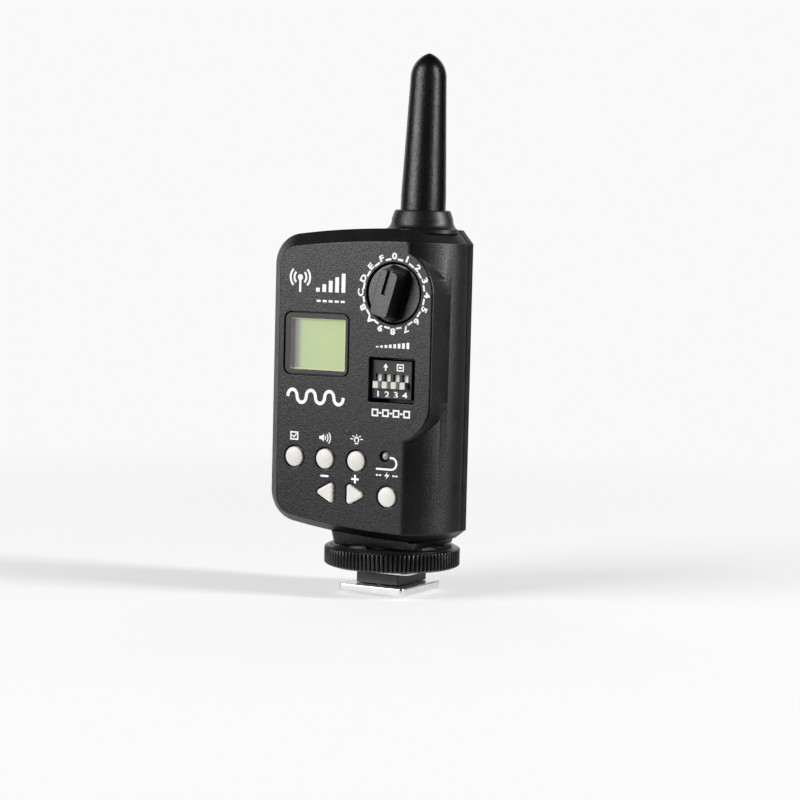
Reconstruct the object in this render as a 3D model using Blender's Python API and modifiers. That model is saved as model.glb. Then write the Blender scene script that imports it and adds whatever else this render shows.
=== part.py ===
"""Hot-shoe radio flash trigger with a stub antenna, built from separate moulded and turned parts.

Frame: X to the right as the control face is read, Y to the rear, Z up.
Origin: centre of the underside of the hot-shoe foot. Dimensions are in millimetres.
"""
import math

import bmesh
import bpy
from mathutils import Matrix, Vector

MM = 0.001
GAP = 0.3                   # clearance kept between neighbouring parts

# Case, read from the control face
FRONT = -14.3               # plane of the control face
SEAM = 2.4                  # joint between the front and the rear shell
REAR = 7.3                  # back of the rear shell
LEFT = -29.8
RIGHT = 18.5
BOTTOM = 13.9
TOP = 92.5
WALL = 1.8
CROWN_X = 7.0               # where the arched top edge is highest
CROWN_RADIUS = 225.0
BASE_CROWN_X = 11.6         # where the arched bottom edge is lowest
BASE_CROWN_RADIUS = 205.0
BASE_RISE = 2.2             # height of the chamfer under the face
CORNER_RADIUS = 8.0
FACE_RISE = 3.3             # chamfer round the control face, across it
FACE_DEPTH = 3.2            # and along Y
SIDE_CHAMFER = 2.6          # chamfer on the ends of the right side
SWEEP_RADIUS = 18.4         # rounded corner between the control face and the right side
SWEEP_Y = 0.9
REAR_CHAMFER = 2.2

# Battery housing on the back
PACK_X = -5.65
PACK_HALF = 20.35
PACK_BOTTOM = 15.5
PACK_TOP = 76.0
PACK_REAR = 12.5
PACK_ROUNDING = 1.6
TRAY_HALF = 13.2            # moulded tray that holds the cells
TRAY_Z = (20.6, 73.4)
TRAY_FLOOR = -1.6
CELL_HALF = 11.6
CELL_FLOOR = 22.3
CELL_ROOF = 71.7
CELL_RADIUS = 5.15
CELL_LENGTH = 43.6
CELL_Y = 5.2
CELL_PITCH = 11.1
DOOR_HALF = 13.0
DOOR_Y = 10.9
DOOR_BOTTOM = 20.6
RECESS_TOP = 78.0           # the door's track runs on past the pack so that it can slide out
TONGUE = 1.0                # how far the door's edges reach under the track
TONGUE_THICK = 0.6
RIB_PITCH = 2.0

# Controls on the face
COLUMN_X = 6.35             # dial and DIP switch column
DIAL_Z = 76.35
DIAL_RADIUS = 7.3
DIAL_HOLE = 7.75
DIAL_FLOOR = -14.0          # disc of the dial, just behind the face
DIAL_TOP = -19.4            # top of its grip bar
DIAL_BACK = -10.0
BAR_BASE = (6.2, 13.4)
BAR_TAPER = (0.83, 0.88)    # how the bar narrows towards its top
BAR_TURN = math.radians(-16.5)
ISLAND_RADIUS = 11.1        # flat land round the dial
ISLAND_LOW_Z = 49.2
ISLAND_LOW_RADIUS = 10.5
WINDOW_SIZE = (18.9, 16.05)
WINDOW_CENTRE = (-15.55, 62.7)
WINDOW_DEPTH = 1.2
PANE_THICK = 0.8
LCD_CENTRE = (-15.55, 62.65)
LCD_OPENING = (17.4, 14.6)
LCD_PANEL = (16.8, 14.0)
DIP_WINDOW = (12.9, 11.2)
DIP_WINDOW_Z = 54.6
DIP_CENTRE = (5.7, 54.7)
DIP_SIZE = (11.4, 9.6)
DIP_PITCH = 2.54
DIP_WAYS = 4
DIP_FACE = -13.0
DIP_REACH = 1.5             # how far the levers stand out of the switch
DIP_SLOT = (1.8, 3.9)
LEVER = (1.2, 1.6)
ROW_Z = 33.8
ROW_X = {"set": -21.3, "buzz": -12.3, "lamp": -3.2}
TEST_AT = (5.85, 25.35)
ARROW_Z = 25.3
MINUS_X = -12.3
PLUS_X = -2.9
CAP_RADIUS = 2.5
CAP_FRONT = FRONT - 0.5
CAP_BACK = -11.3
ARROW_TIP = 2.75
ARROW_HALF = 3.05
LED_AT = (4.9, 35.5)
LED_HOLE = 1.4
FACE_INSIDE = -8.0          # how deep openings are cut behind the face

# Circuit board
BOARD_FRONT = -7.6
BOARD_THICK = 1.2
BOARD_X = (-26.4, 12.6)
BOARD_Z = (22.3, 81.5)

# Antenna
ANTENNA_X = 7.5
ANTENNA_Y = -2.0
ANTENNA_LEAN = math.radians(1.1)
SOCKET_FLOOR = 92.7
COLLAR_TOP = 97.2
ANTENNA_TIP = 136.5
ANTENNA_BASE_RADIUS = 5.7
ANTENNA_TIP_RADIUS = 4.42
OGIVE = 6.7

# Hot-shoe foot
PLATE_HALF = 9.3            # half of the 18.6 mm standard foot
PLATE_FRONT = -11.3
PLATE_REAR = 9.5
PLATE_THICK = 2.0
NECK_HALF_X = 6.2
NECK_HALF_Y = 7.6
NECK_TOP = 4.7
STEM_RADIUS = 7.2
WHEEL_RADIUS = 17.4
WHEEL_BOTTOM = 6.2
WHEEL_KNURL_TOP = 10.6
WHEEL_TOP = 11.5
WHEEL_RECESS = 13.6         # recess in the wheel's top, round the pedestal
RIDGES = 96
RIDGE_DEPTH = 0.45
WASHER_THICK = 0.6
WASHER_RIM = 2.6
PEDESTAL_HALF = 12.5
PEDESTAL_FRONT = -12.0
PEDESTAL_REAR = 13.0
PEDESTAL_BOTTOM = 11.8
PEDESTAL_TOP = 15.2

# Fixings: (x, z, y where the front boss begins)
CASE_SCREWS = [(-23.3, 84.2, -12.9), (14.0, 85.5, -4.0), (-22.3, 19.4, -12.9), (11.0, 19.4, -10.0)]
SCREW_SEAT = 5.6
SCREW_END = -3.0
FOOT_SCREW_Y = 5.4
THREAD_BORE = 1.25
HEAD_BORE = 2.3
FRONT_BOSS = 2.5
REAR_BOSS = 3.0
FOOT_BORE = 1.4
FOOT_SINK = 2.45

# Left side
JACK_Y = -3.0
JACK_Z = 62.0
JACK_HOLE = 3.0
JACK_BORE = 1.8
SWITCH_Y = -3.0
SWITCH_Z = 40.0
SWITCH_TRAVEL = 3.2
SWITCH_SLOT = (3.6, 7.2)


def clear_scene():
    for obj in list(bpy.data.objects):
        bpy.data.objects.remove(obj, do_unlink=True)


def collection(name):
    made = bpy.data.collections.new(name)
    bpy.context.scene.collection.children.link(made)
    return made


def material(name, colour, roughness, metallic=0.0):
    made = bpy.data.materials.new(name)
    made.use_nodes = True
    shader = made.node_tree.nodes["Principled BSDF"]
    shader.inputs["Base Color"].default_value = (*colour, 1.0)
    shader.inputs["Roughness"].default_value = roughness
    shader.inputs["Metallic"].default_value = metallic
    return made


clear_scene()
PARTS = collection("flash_trigger")
CUTTERS = collection("cutters")


def place(obj, home):
    """Keep an object in one of the two collections only."""
    for old in list(obj.users_collection):
        old.objects.unlink(obj)
    home.objects.link(obj)
    obj.hide_render = home is CUTTERS
    obj.display_type = "WIRE" if home is CUTTERS else "TEXTURED"
    return obj


def from_bmesh(name, shape):
    bmesh.ops.remove_doubles(shape, verts=shape.verts, dist=1e-6)
    bmesh.ops.recalc_face_normals(shape, faces=shape.faces)
    mesh = bpy.data.meshes.new(name)
    shape.to_mesh(mesh)
    shape.free()
    return place_new(name, mesh)


def place_new(name, mesh):
    obj = bpy.data.objects.new(name, mesh)
    return place(obj, CUTTERS)


def to_front(obj, x=0.0, y=0.0, z=0.0):
    """Stand an object drawn in XY against the control face: its +Z turns to -Y."""
    obj.rotation_euler = (math.pi / 2, 0.0, 0.0)
    obj.location = (x * MM, y * MM, z * MM)
    return obj


def box(name, xs, ys, zs, bevel=0.0):
    """A block between two limits on each axis, its origin at its centre."""
    shape = bmesh.new()
    bmesh.ops.create_cube(shape, size=MM)
    size = (xs[1] - xs[0], ys[1] - ys[0], zs[1] - zs[0])
    bmesh.ops.scale(shape, vec=size, verts=shape.verts)
    obj = from_bmesh(name, shape)
    obj.location = [sum(pair) / 2 * MM for pair in (xs, ys, zs)]
    if bevel:
        soften(obj, bevel)
    return obj


def soften(obj, width, segments=2):
    rounding = obj.modifiers.new("rounding", "BEVEL")
    rounding.width = width * MM
    rounding.segments = segments
    rounding.limit_method = "ANGLE"


def cylinder(name, radius, low, high, x=0.0, y=0.0, sides=24):
    """An upright cylinder."""
    shape = bmesh.new()
    bmesh.ops.create_cone(shape, cap_ends=True, segments=sides, radius1=radius * MM,
                          radius2=radius * MM, depth=(high - low) * MM)
    obj = from_bmesh(name, shape)
    obj.location = (x * MM, y * MM, (low + high) / 2 * MM)
    return obj


def pin(name, radius, front, back, x, z, sides=24):
    """A cylinder along Y between two depths."""
    obj = cylinder(name, radius, 0.0, back - front, sides=sides)
    return to_front(obj, x, (front + back) / 2, z)


def turned(name, profile, steps=24):
    """A body of revolution about Z from (radius, height) points, outer side first, top to bottom."""
    shape = bmesh.new()
    verts = [shape.verts.new((r * MM, 0.0, h * MM)) for r, h in profile]
    for first, second in zip(verts, verts[1:]):
        shape.edges.new((first, second))
    if profile[0][0] > 0.0:
        shape.edges.new((verts[-1], verts[0]))
    mesh = bpy.data.meshes.new(name)
    shape.to_mesh(mesh)
    shape.free()
    obj = place_new(name, mesh)
    screw = obj.modifiers.new("turn", "SCREW")
    screw.steps = steps
    screw.render_steps = steps
    screw.use_merge_vertices = True
    screw.merge_threshold = 0.00001
    screw.use_smooth_shade = True
    return obj


def outline(name, loops, thickness):
    """A flat plate about Z = 0 from closed outlines; inner outlines become holes."""
    curve = bpy.data.curves.new(name, "CURVE")
    curve.dimensions = "2D"
    curve.fill_mode = "BOTH"
    curve.extrude = thickness / 2 * MM
    for loop in loops:
        spline = curve.splines.new("POLY")
        spline.points.add(len(loop) - 1)
        for point, (x, y) in zip(spline.points, loop):
            point.co = (x * MM, y * MM, 0.0, 1.0)
        spline.use_cyclic_u = True
    return curve_to_mesh(name, curve)


def curve_to_mesh(name, curve):
    guide = bpy.data.objects.new(name + "_curve", curve)
    bpy.context.scene.collection.objects.link(guide)
    graph = bpy.context.evaluated_depsgraph_get()
    mesh = bpy.data.meshes.new_from_object(guide.evaluated_get(graph))
    bpy.data.objects.remove(guide, do_unlink=True)
    shape = bmesh.new()
    shape.from_mesh(mesh)
    bpy.data.meshes.remove(mesh)
    return from_bmesh(name, shape)


def front_plate(name, loops, front, back):
    """A plate parallel to the control face, its outline given in X and Z."""
    return to_front(outline(name, loops, back - front), y=(front + back) / 2)


def rounded(corners, radius, steps=4):
    """The points of a convex outline, listed anticlockwise, with rounded corners."""
    points = []
    count = len(corners)
    for i, corner in enumerate(corners):
        here = Vector(corner)
        before = (Vector(corners[i - 1]) - here).normalized()
        after = (Vector(corners[(i + 1) % count]) - here).normalized()
        half = before.angle(after) / 2
        centre = here + (before + after).normalized() * radius / math.sin(half)
        start = here + before * radius / math.tan(half) - centre
        turn = math.pi - 2 * half
        for k in range(steps + 1):
            angle = math.atan2(start.y, start.x) + turn * k / steps
            points.append((centre.x + radius * math.cos(angle), centre.y + radius * math.sin(angle)))
    return points


def rectangle(centre, size, radius=0.0, steps=4):
    x, z = centre
    w, h = size[0] / 2, size[1] / 2
    corners = [(x - w, z - h), (x + w, z - h), (x + w, z + h), (x - w, z + h)]
    return rounded(corners, radius, steps) if radius else corners


def circle(centre, radius, steps=32):
    angles = [2 * math.pi * k / steps for k in range(steps)]
    return [(centre[0] + radius * math.cos(a), centre[1] + radius * math.sin(a)) for a in angles]


def boolean(obj, operation, *others):
    for other in others:
        step = obj.modifiers.new(operation.lower(), "BOOLEAN")
        step.operation = operation
        step.solver = "EXACT"
        step.object = other
    return obj


def cut(obj, *others):
    return boolean(obj, "DIFFERENCE", *others)


def join(obj, *others):
    return boolean(obj, "UNION", *others)


def finish(obj, look):
    """Make an object one of the trigger's parts."""
    obj.data.materials.clear()
    obj.data.materials.append(look)
    obj.data.shade_smooth()
    obj.data.set_sharp_from_angle(angle=math.radians(35))
    return place(obj, PARTS)


# ---------------------------------------------------------------- case sections

def crown_drop(x):
    """How far the top edge falls short of its crown at x."""
    return CROWN_RADIUS - math.sqrt(CROWN_RADIUS ** 2 - (x - CROWN_X) ** 2)


def sweep_x(y):
    """Right side of the case at depth y: the big corner radius, then flat."""
    if y >= SWEEP_Y:
        return RIGHT
    return RIGHT - SWEEP_RADIUS + math.sqrt(SWEEP_RADIUS ** 2 - (y - SWEEP_Y) ** 2)


def base_rise(x):
    """How far the bottom edge stands above its lowest point at x."""
    return BASE_CROWN_RADIUS - math.sqrt(BASE_CROWN_RADIUS ** 2 - (x - BASE_CROWN_X) ** 2)


def arched_edge(left, stop, radius, crown_x, crown_radius, arch):
    """A rounded corner and an arched edge from left to stop: x and the distance in from the crown."""
    lean = math.asin((crown_x - left - radius) / crown_radius)
    turns = [math.pi - (math.pi / 2 - lean) * k / 6 for k in range(7)]
    corner = [(left + radius + radius * math.cos(a), radius * math.sin(a)) for a in turns]
    edge_x, reach = corner[-1]
    points = [(x, arch(edge_x) + reach - z) for x, z in corner]
    for k in range(1, 9):
        x = edge_x + (stop - edge_x) * k / 8
        points.append((x, arch(x)))
    return points


def case_section(y, inset, right, end_chamfer, low_inset=None):
    """One closed section of the case in XZ at depth y: along the bottom edge, then back along the top."""
    low_inset = inset if low_inset is None else low_inset
    left = LEFT + inset
    radius = CORNER_RADIUS - inset
    stop = right - end_chamfer
    upper = [(x, TOP - inset - d)
             for x, d in arched_edge(left, stop, radius, CROWN_X, CROWN_RADIUS, crown_drop)]
    lower = [(x, BOTTOM + low_inset + d)
             for x, d in arched_edge(left, stop, radius, BASE_CROWN_X, BASE_CROWN_RADIUS, base_rise)]
    upper.append((right, min(TOP - FACE_RISE - crown_drop(right), upper[-1][1])))
    lower.append((right, max(BOTTOM + BASE_RISE + base_rise(right), lower[-1][1])))
    ring = lower + upper[::-1]
    return [(x * MM, y * MM, z * MM) for x, z in ring]


def loft(name, sections):
    """A closed solid through sections that have the same number of points."""
    shape = bmesh.new()
    rings = [[shape.verts.new(point) for point in section] for section in sections]
    count = len(rings[0])
    for first, second in zip(rings, rings[1:]):
        for i in range(count):
            j = (i + 1) % count
            shape.faces.new((first[i], first[j], second[j], second[i]))
    shape.faces.new(rings[0][::-1])
    shape.faces.new(rings[-1])
    bmesh.ops.dissolve_degenerate(shape, dist=1e-6, edges=shape.edges)
    return from_bmesh(name, shape)


def case_front(name, wall, back):
    """The front of the case, or its cavity when wall is above zero."""
    face = FRONT + wall
    depths = [face, face + FACE_DEPTH / 3, face + 2 * FACE_DEPTH / 3, face + FACE_DEPTH]
    sweep = [-8.6, -5.6, -2.4, SWEEP_Y]
    sections = []
    for y in depths + [y for y in sweep if y > depths[-1]] + [back]:
        fade = max(0.0, 1.0 - (y - face) / FACE_DEPTH)
        side = sweep_x(y) - wall * 1.3
        chamfer = SIDE_CHAMFER * (1.0 - fade)
        sections.append(case_section(y, wall + FACE_RISE * fade, side, chamfer, wall + BASE_RISE * fade))
    return loft(name, sections)


def case_rear(name, wall, front):
    """The back of the case, or its cavity when wall is above zero."""
    back = REAR - wall
    steps = [(front, 0.0), (back - REAR_CHAMFER, 0.0), (back, REAR_CHAMFER)]
    sections = [case_section(y, wall + inset, RIGHT - wall - inset, SIDE_CHAMFER) for y, inset in steps]
    return loft(name, sections)


def collar(name, keep):
    """Moulded collar round the antenna, cut back to the depths in keep."""
    ring = [(6.9, COLLAR_TOP), (7.35, COLLAR_TOP - 0.5), (7.7, 94.6), (8.2, 93.3), (9.2, 92.5), (9.2, 91.6),
            (0.0, 91.6)]
    body = turned(name, [(0.0, COLLAR_TOP)] + ring, 32)
    body.location = (ANTENNA_X * MM, ANTENNA_Y * MM, 0.0)
    slab = box(name + "_keep", (-10, 30), keep, (80, 110))
    return boolean(body, "INTERSECT", slab)


def antenna_socket():
    well = cylinder("antenna_well", ANTENNA_BASE_RADIUS + GAP, SOCKET_FLOOR, 110, ANTENNA_X, ANTENNA_Y, 32)
    feed = cylinder("antenna_feed", 1.8, 80, 100, ANTENNA_X, ANTENNA_Y, 16)
    return well, feed


# ---------------------------------------------------------------- shells

def arrow_corners(x, direction, grow=0.0):
    """Rounded-triangle button outline that points along direction (+1 or -1)."""
    tip = x + direction * (ARROW_TIP + 1.6 * grow)
    flat = x - direction * (ARROW_TIP + grow)
    half = ARROW_HALF + 1.5 * grow
    corners = [(tip, ARROW_Z), (flat, ARROW_Z + half), (flat, ARROW_Z - half)]
    return corners if direction > 0 else [corners[0], corners[2], corners[1]]


def island():
    """Flat land beside the dial and the DIP switch, carried out over the rounded corner."""
    right = COLUMN_X + ISLAND_RADIUS
    points = []
    for k in range(9):
        angle = math.radians(-90 + 90 * k / 8)
        x = right - ISLAND_LOW_RADIUS + ISLAND_LOW_RADIUS * math.cos(angle)
        points.append((x, ISLAND_LOW_Z + ISLAND_LOW_RADIUS * math.sin(angle)))
    for k in range(9):
        angle = math.radians(90 * k / 8)
        x = COLUMN_X + ISLAND_RADIUS * math.cos(angle)
        points.append((x, DIAL_Z + ISLAND_RADIUS * math.sin(angle)))
    return front_plate("island", [points], FRONT - 0.01, SWEEP_Y)


def face_cutters():
    """Everything that is cut through the control face."""
    start = FRONT - 2
    end = FACE_INSIDE
    window = [rectangle(WINDOW_CENTRE, WINDOW_SIZE, 1.9)]
    dip_window = [rectangle((COLUMN_X, DIP_WINDOW_Z), DIP_WINDOW)]
    tools = [
        front_plate("window_pocket", window, start, FRONT + WINDOW_DEPTH),
        front_plate("window_opening", [rectangle(LCD_CENTRE, LCD_OPENING, 0.6)], start, end),
        front_plate("dip_window", dip_window, start, end + 0.6),
        pin("dial_hole", DIAL_HOLE, start, end + 0.6, COLUMN_X, DIAL_Z, 40),
        pin("led_hole", LED_HOLE, start, end, *LED_AT, 20),
        pin("test_hole", CAP_RADIUS + 0.5, start, end, *TEST_AT, 24),
        front_plate("minus_hole", [rounded(arrow_corners(MINUS_X, -1, 0.45), 1.2)], start, end),
        front_plate("plus_hole", [rounded(arrow_corners(PLUS_X, 1, 0.45), 1.2)], start, end),
    ]
    for name, x in ROW_X.items():
        tools.append(pin(name + "_hole", CAP_RADIUS + 0.5, start, end, x, ROW_Z, 24))
    return tools


def side_cutters():
    jack = cylinder("jack_hole", JACK_HOLE, 0, 12, sides=24)
    jack.rotation_euler = (0.0, math.pi / 2, 0.0)
    jack.location = ((LEFT - 1) * MM, JACK_Y * MM, JACK_Z * MM)
    wide, high = SWITCH_SLOT[0] / 2, SWITCH_SLOT[1] / 2
    slot = box("switch_slot", (LEFT - 3, LEFT + 5), (SWITCH_Y - wide, SWITCH_Y + wide),
               (SWITCH_Z - high, SWITCH_Z + high))
    return jack, slot


def make_front_case(look):
    case = case_front("front_case", 0.0, SEAM)
    join(case, island(), collar("front_collar", (-30, SEAM)))
    cut(case, case_front("front_cavity", WALL, SEAM + 2))
    for number, (x, z, start) in enumerate(CASE_SCREWS, 1):
        join(case, pin(f"front_boss_{number}", FRONT_BOSS, start, SEAM, x, z, 20))
    for number, (x, z, _) in enumerate(CASE_SCREWS, 1):
        cut(case, pin(f"front_bore_{number}", THREAD_BORE, SCREW_END - 0.5, SEAM + 2, x, z, 16))
    cut(case, *face_cutters(), *side_cutters(), *antenna_socket())
    return finish(case, look)


def make_rear_case(look):
    case = case_rear("rear_case", 0.0, SEAM + GAP)
    pack_x = (PACK_X - PACK_HALF, PACK_X + PACK_HALF)
    bulge = box("pack_outside", pack_x, (REAR - 2.5, PACK_REAR), (PACK_BOTTOM, PACK_TOP), PACK_ROUNDING)
    hollow = box("pack_inside", (pack_x[0] + WALL, pack_x[1] - WALL), (0, DOOR_Y - WALL),
                 (PACK_BOTTOM + WALL + 0.6, PACK_TOP - WALL))
    join(case, bulge, collar("rear_collar", (SEAM + GAP, 30)))
    cut(case, case_rear("rear_cavity", WALL, SEAM - 2), hollow)
    tray = box("tray", (PACK_X - TRAY_HALF, PACK_X + TRAY_HALF), (TRAY_FLOOR, DOOR_Y - 0.8), TRAY_Z)
    join(case, tray)
    for number, (x, z, _) in enumerate(CASE_SCREWS, 1):
        depth = PACK_REAR - 0.8 if z < PACK_TOP else REAR - 0.8
        join(case, pin(f"rear_boss_{number}", REAR_BOSS, SEAM + GAP, depth, x, z, 20))
        cut(case, pin(f"rear_bore_{number}", THREAD_BORE, 0, 14, x, z, 16))
        cut(case, pin(f"head_pocket_{number}", HEAD_BORE, SCREW_SEAT, 14, x, z, 20))
    cell_x = (PACK_X - CELL_HALF, PACK_X + CELL_HALF)
    door_x = (PACK_X - DOOR_HALF, PACK_X + DOOR_HALF)
    track = TONGUE + 0.2
    cells = box("cell_space", cell_x, (-0.2, 14), (CELL_FLOOR, CELL_ROOF))
    recess = box("door_recess", door_x, (DOOR_Y, 14), (DOOR_BOTTOM, RECESS_TOP))
    groove = box("door_groove", (door_x[0] - track, door_x[1] + track),
                 (DOOR_Y, DOOR_Y + TONGUE_THICK + 0.5), (DOOR_BOTTOM, RECESS_TOP))
    cut(case, cells, recess, groove, *antenna_socket())
    return finish(case, look)


def make_door(look):
    half = DOOR_HALF - GAP
    low = DOOR_BOTTOM + GAP
    inner = DOOR_Y + GAP / 2
    door = box("battery_door", (PACK_X - half, PACK_X + half), (inner, PACK_REAR), (low, PACK_TOP))
    tongue = box("door_tongue", (PACK_X - half - TONGUE, PACK_X + half + TONGUE),
                 (inner, inner + TONGUE_THICK), (low, PACK_TOP - 3))
    join(door, tongue)
    for number in range(4):
        z = 30 + RIB_PITCH * number
        join(door, box(f"door_rib_{number}", (PACK_X - 6, PACK_X + 6),
                       (PACK_REAR - 0.5, PACK_REAR + 0.5), (z - 0.4, z + 0.4)))
    return finish(door, look)


# ---------------------------------------------------------------- display, board and switches

def make_display(clear, dark, green):
    pane = (WINDOW_SIZE[0] - 0.6, WINDOW_SIZE[1] - 0.6)
    face = FRONT + 0.1
    window = front_plate("display_window", [rectangle(WINDOW_CENTRE, pane, 1.6)], face, face + PANE_THICK)
    finish(window, clear)
    frame = [rectangle(LCD_CENTRE, (19.6, 17.0), 0.8), rectangle(LCD_CENTRE, LCD_OPENING, 0.4)[::-1]]
    finish(front_plate("lcd_frame", frame, FRONT + 2.9, FRONT + 3.9), dark)
    finish(front_plate("lcd_panel", [rectangle(LCD_CENTRE, LCD_PANEL)], FRONT + 1.5, FRONT + 5.6), green)


def make_board(look):
    board = box("main_board", BOARD_X, (BOARD_FRONT, BOARD_FRONT + BOARD_THICK), BOARD_Z)
    return finish(board, look)


def make_round_button(name, x, z, look):
    """A domed cap with a flange behind the face and a plunger."""
    reach = CAP_BACK - CAP_FRONT
    profile = [(0.0, reach), (1.2, reach - 0.05), (2.0, reach - 0.2), (CAP_RADIUS - 0.1, reach - 0.45),
               (CAP_RADIUS, reach - 0.75), (CAP_RADIUS, 0.9), (3.4, 0.9), (3.4, 0.0), (0.0, 0.0)]
    cap = turned(name, profile, 24)
    to_front(cap, x, CAP_BACK, z)
    return finish(cap, look)


def make_arrow_button(name, x, direction, look):
    cap = outline(name, [rounded(shift(arrow_corners(x, direction), x), 0.8)], CAP_BACK - CAP_FRONT)
    flange = outline(name + "_flange", [rounded(shift(arrow_corners(x, direction, 0.9), x), 1.2)], 0.9)
    cap.data.transform(Matrix.Translation((0.0, 0.0, (CAP_BACK - CAP_FRONT) / 2 * MM)))
    flange.data.transform(Matrix.Translation((0.0, 0.0, 0.45 * MM)))
    soften(cap, 0.3)
    to_front(cap, x, CAP_BACK, ARROW_Z)
    to_front(flange, x, CAP_BACK, ARROW_Z)
    join(cap, flange)
    return finish(cap, look)


def shift(points, x):
    """Move outline points from the case frame to a button's own axis."""
    return [(px - x, pz - ARROW_Z) for px, pz in points]


def button_places():
    places = {name: (x, ROW_Z) for name, x in ROW_X.items()}
    places["minus"] = (MINUS_X, ARROW_Z)
    places["plus"] = (PLUS_X, ARROW_Z)
    places["test"] = TEST_AT
    return places


def make_buttons(look):
    for name in ROW_X:
        make_round_button("button_" + name, ROW_X[name], ROW_Z, look)
    make_round_button("button_test", *TEST_AT, look)
    make_arrow_button("button_minus", MINUS_X, -1, look)
    make_arrow_button("button_plus", PLUS_X, 1, look)


def make_tact_switches(look):
    """Momentary switches on the board, one behind each button."""
    for name, (x, z) in button_places().items():
        back = BOARD_FRONT - GAP
        body = box("tact_" + name, (x - 3, x + 3), (back - 2.1, back), (z - 3, z + 3))
        join(body, pin(f"tact_{name}_plunger", 1.7, CAP_BACK + 0.85, back - 1.0, x, z, 20))
        finish(body, look)


def make_led(look):
    profile = [(0.0, 0.0), (0.6, -0.2), (1.0, -0.6), (1.1, -1.1), (1.1, -2.4), (1.7, -2.4), (1.7, -3.2),
               (1.1, -3.2), (1.1, -6.3), (0.0, -6.3)]
    led = turned("status_led", profile, 24)
    to_front(led, LED_AT[0], FRONT - 0.1, LED_AT[1])
    return finish(led, look)


# ---------------------------------------------------------------- dial and DIP switch

def make_dial(look):
    """Power dial: a disc with a raised grip bar, a pointer step and a bore for the switch shaft."""
    disc = DIAL_BACK - DIAL_FLOOR
    rim = DIAL_RADIUS
    profile = [(0.0, disc), (rim - 0.3, disc), (rim, disc - 0.3), (rim, 0.0), (0.0, 0.0)]
    dial = turned("power_dial", profile, 48)
    to_front(dial, COLUMN_X, DIAL_BACK, DIAL_Z)
    bar = front_plate("dial_bar", [rectangle((0, 0), BAR_BASE, 1.3)], DIAL_TOP, DIAL_FLOOR + 0.5)
    for vertex in bar.data.vertices:
        if vertex.co.z > 0.0:
            vertex.co.x *= BAR_TAPER[0]
            vertex.co.y *= BAR_TAPER[1]
    soften(bar, 0.35, 1)
    slot = front_plate("dial_slot", [rectangle((-0.07, 3.2), (1.15, 7.0))], DIAL_TOP - 1, DIAL_TOP + 0.5)
    for piece in (bar, slot):
        piece.rotation_euler = (math.pi / 2, -BAR_TURN, 0.0)
        piece.location = (COLUMN_X * MM, piece.location.y, DIAL_Z * MM)
    join(dial, bar)
    cut(dial, slot, pin("dial_bore", 1.8, DIAL_FLOOR - 1.5, DIAL_BACK + 1, COLUMN_X, DIAL_Z, 20))
    return finish(dial, look)


def make_rotary_switch(look):
    body = box("rotary_switch_body", (COLUMN_X - 5.2, COLUMN_X + 5.2),
               (DIAL_BACK + GAP, BOARD_FRONT - GAP), (DIAL_Z - 5.2, DIAL_Z + 4.8), 0.3)
    join(body, pin("rotary_shaft", 1.5, DIAL_FLOOR - 1.1, BOARD_FRONT - 1, COLUMN_X, DIAL_Z, 20))
    return finish(body, look)


def dip_slots():
    return [DIP_CENTRE[0] + DIP_PITCH * (k - (DIP_WAYS - 1) / 2) for k in range(DIP_WAYS)]


def make_dip_switch(red, white):
    xs = (DIP_CENTRE[0] - DIP_SIZE[0] / 2, DIP_CENTRE[0] + DIP_SIZE[0] / 2)
    zs = (DIP_CENTRE[1] - DIP_SIZE[1] / 2, DIP_CENTRE[1] + DIP_SIZE[1] / 2)
    body = box("dip_switch_body", xs, (DIP_FACE, BOARD_FRONT - GAP), zs)
    low = DIP_CENTRE[1] - 2.2
    for number, x in enumerate(dip_slots(), 1):
        half = DIP_SLOT[0] / 2
        cut(body, box(f"dip_slot_{number}", (x - half, x + half), (DIP_FACE - 1, DIP_FACE + 1.6),
                      (low, low + DIP_SLOT[1])))
        half = LEVER[0] / 2
        finish(box(f"dip_slider_{number}", (x - half, x + half),
                   (DIP_FACE - DIP_REACH, DIP_FACE + 1.3), (low + GAP, low + GAP + LEVER[1])), white)
    return finish(body, red)


# ---------------------------------------------------------------- batteries

def make_cells(look):
    """Two AAA cells, one each way up."""
    base = (CELL_FLOOR + CELL_ROOF - CELL_LENGTH) / 2
    top = CELL_LENGTH
    profile = [(0.0, top + 0.9), (1.9, top + 0.9), (1.9, top), (CELL_RADIUS - 0.4, top),
               (CELL_RADIUS, top - 0.4), (CELL_RADIUS, 0.4), (CELL_RADIUS - 0.4, 0.0), (0.0, 0.0)]
    for number, side in ((1, -1), (2, 1)):
        cell = turned(f"battery_cell_{number}", profile, 20)
        z = base if number == 1 else CELL_FLOOR + CELL_ROOF - base
        cell.location = ((PACK_X + side * CELL_PITCH / 2) * MM, CELL_Y * MM, z * MM)
        cell.rotation_euler = (0.0 if number == 1 else math.pi, 0.0, 0.0)
        finish(cell, look)


def make_contacts(look):
    """A coil against each negative end and a tab against each positive end."""
    for number, side, floor, grow in ((1, -1, CELL_FLOOR, 1), (2, 1, CELL_ROOF, -1)):
        x = PACK_X + side * CELL_PITCH / 2
        finish(contact_coil(f"contact_coil_{number}", x, floor, grow), look)
        far = CELL_FLOOR + CELL_ROOF - floor
        zs = sorted((far - grow * 0.3, far - grow * 0.8))
        finish(box(f"contact_tab_{number}", (x - 3.5, x + 3.5), (1.2, 8.8), zs), look)


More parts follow.
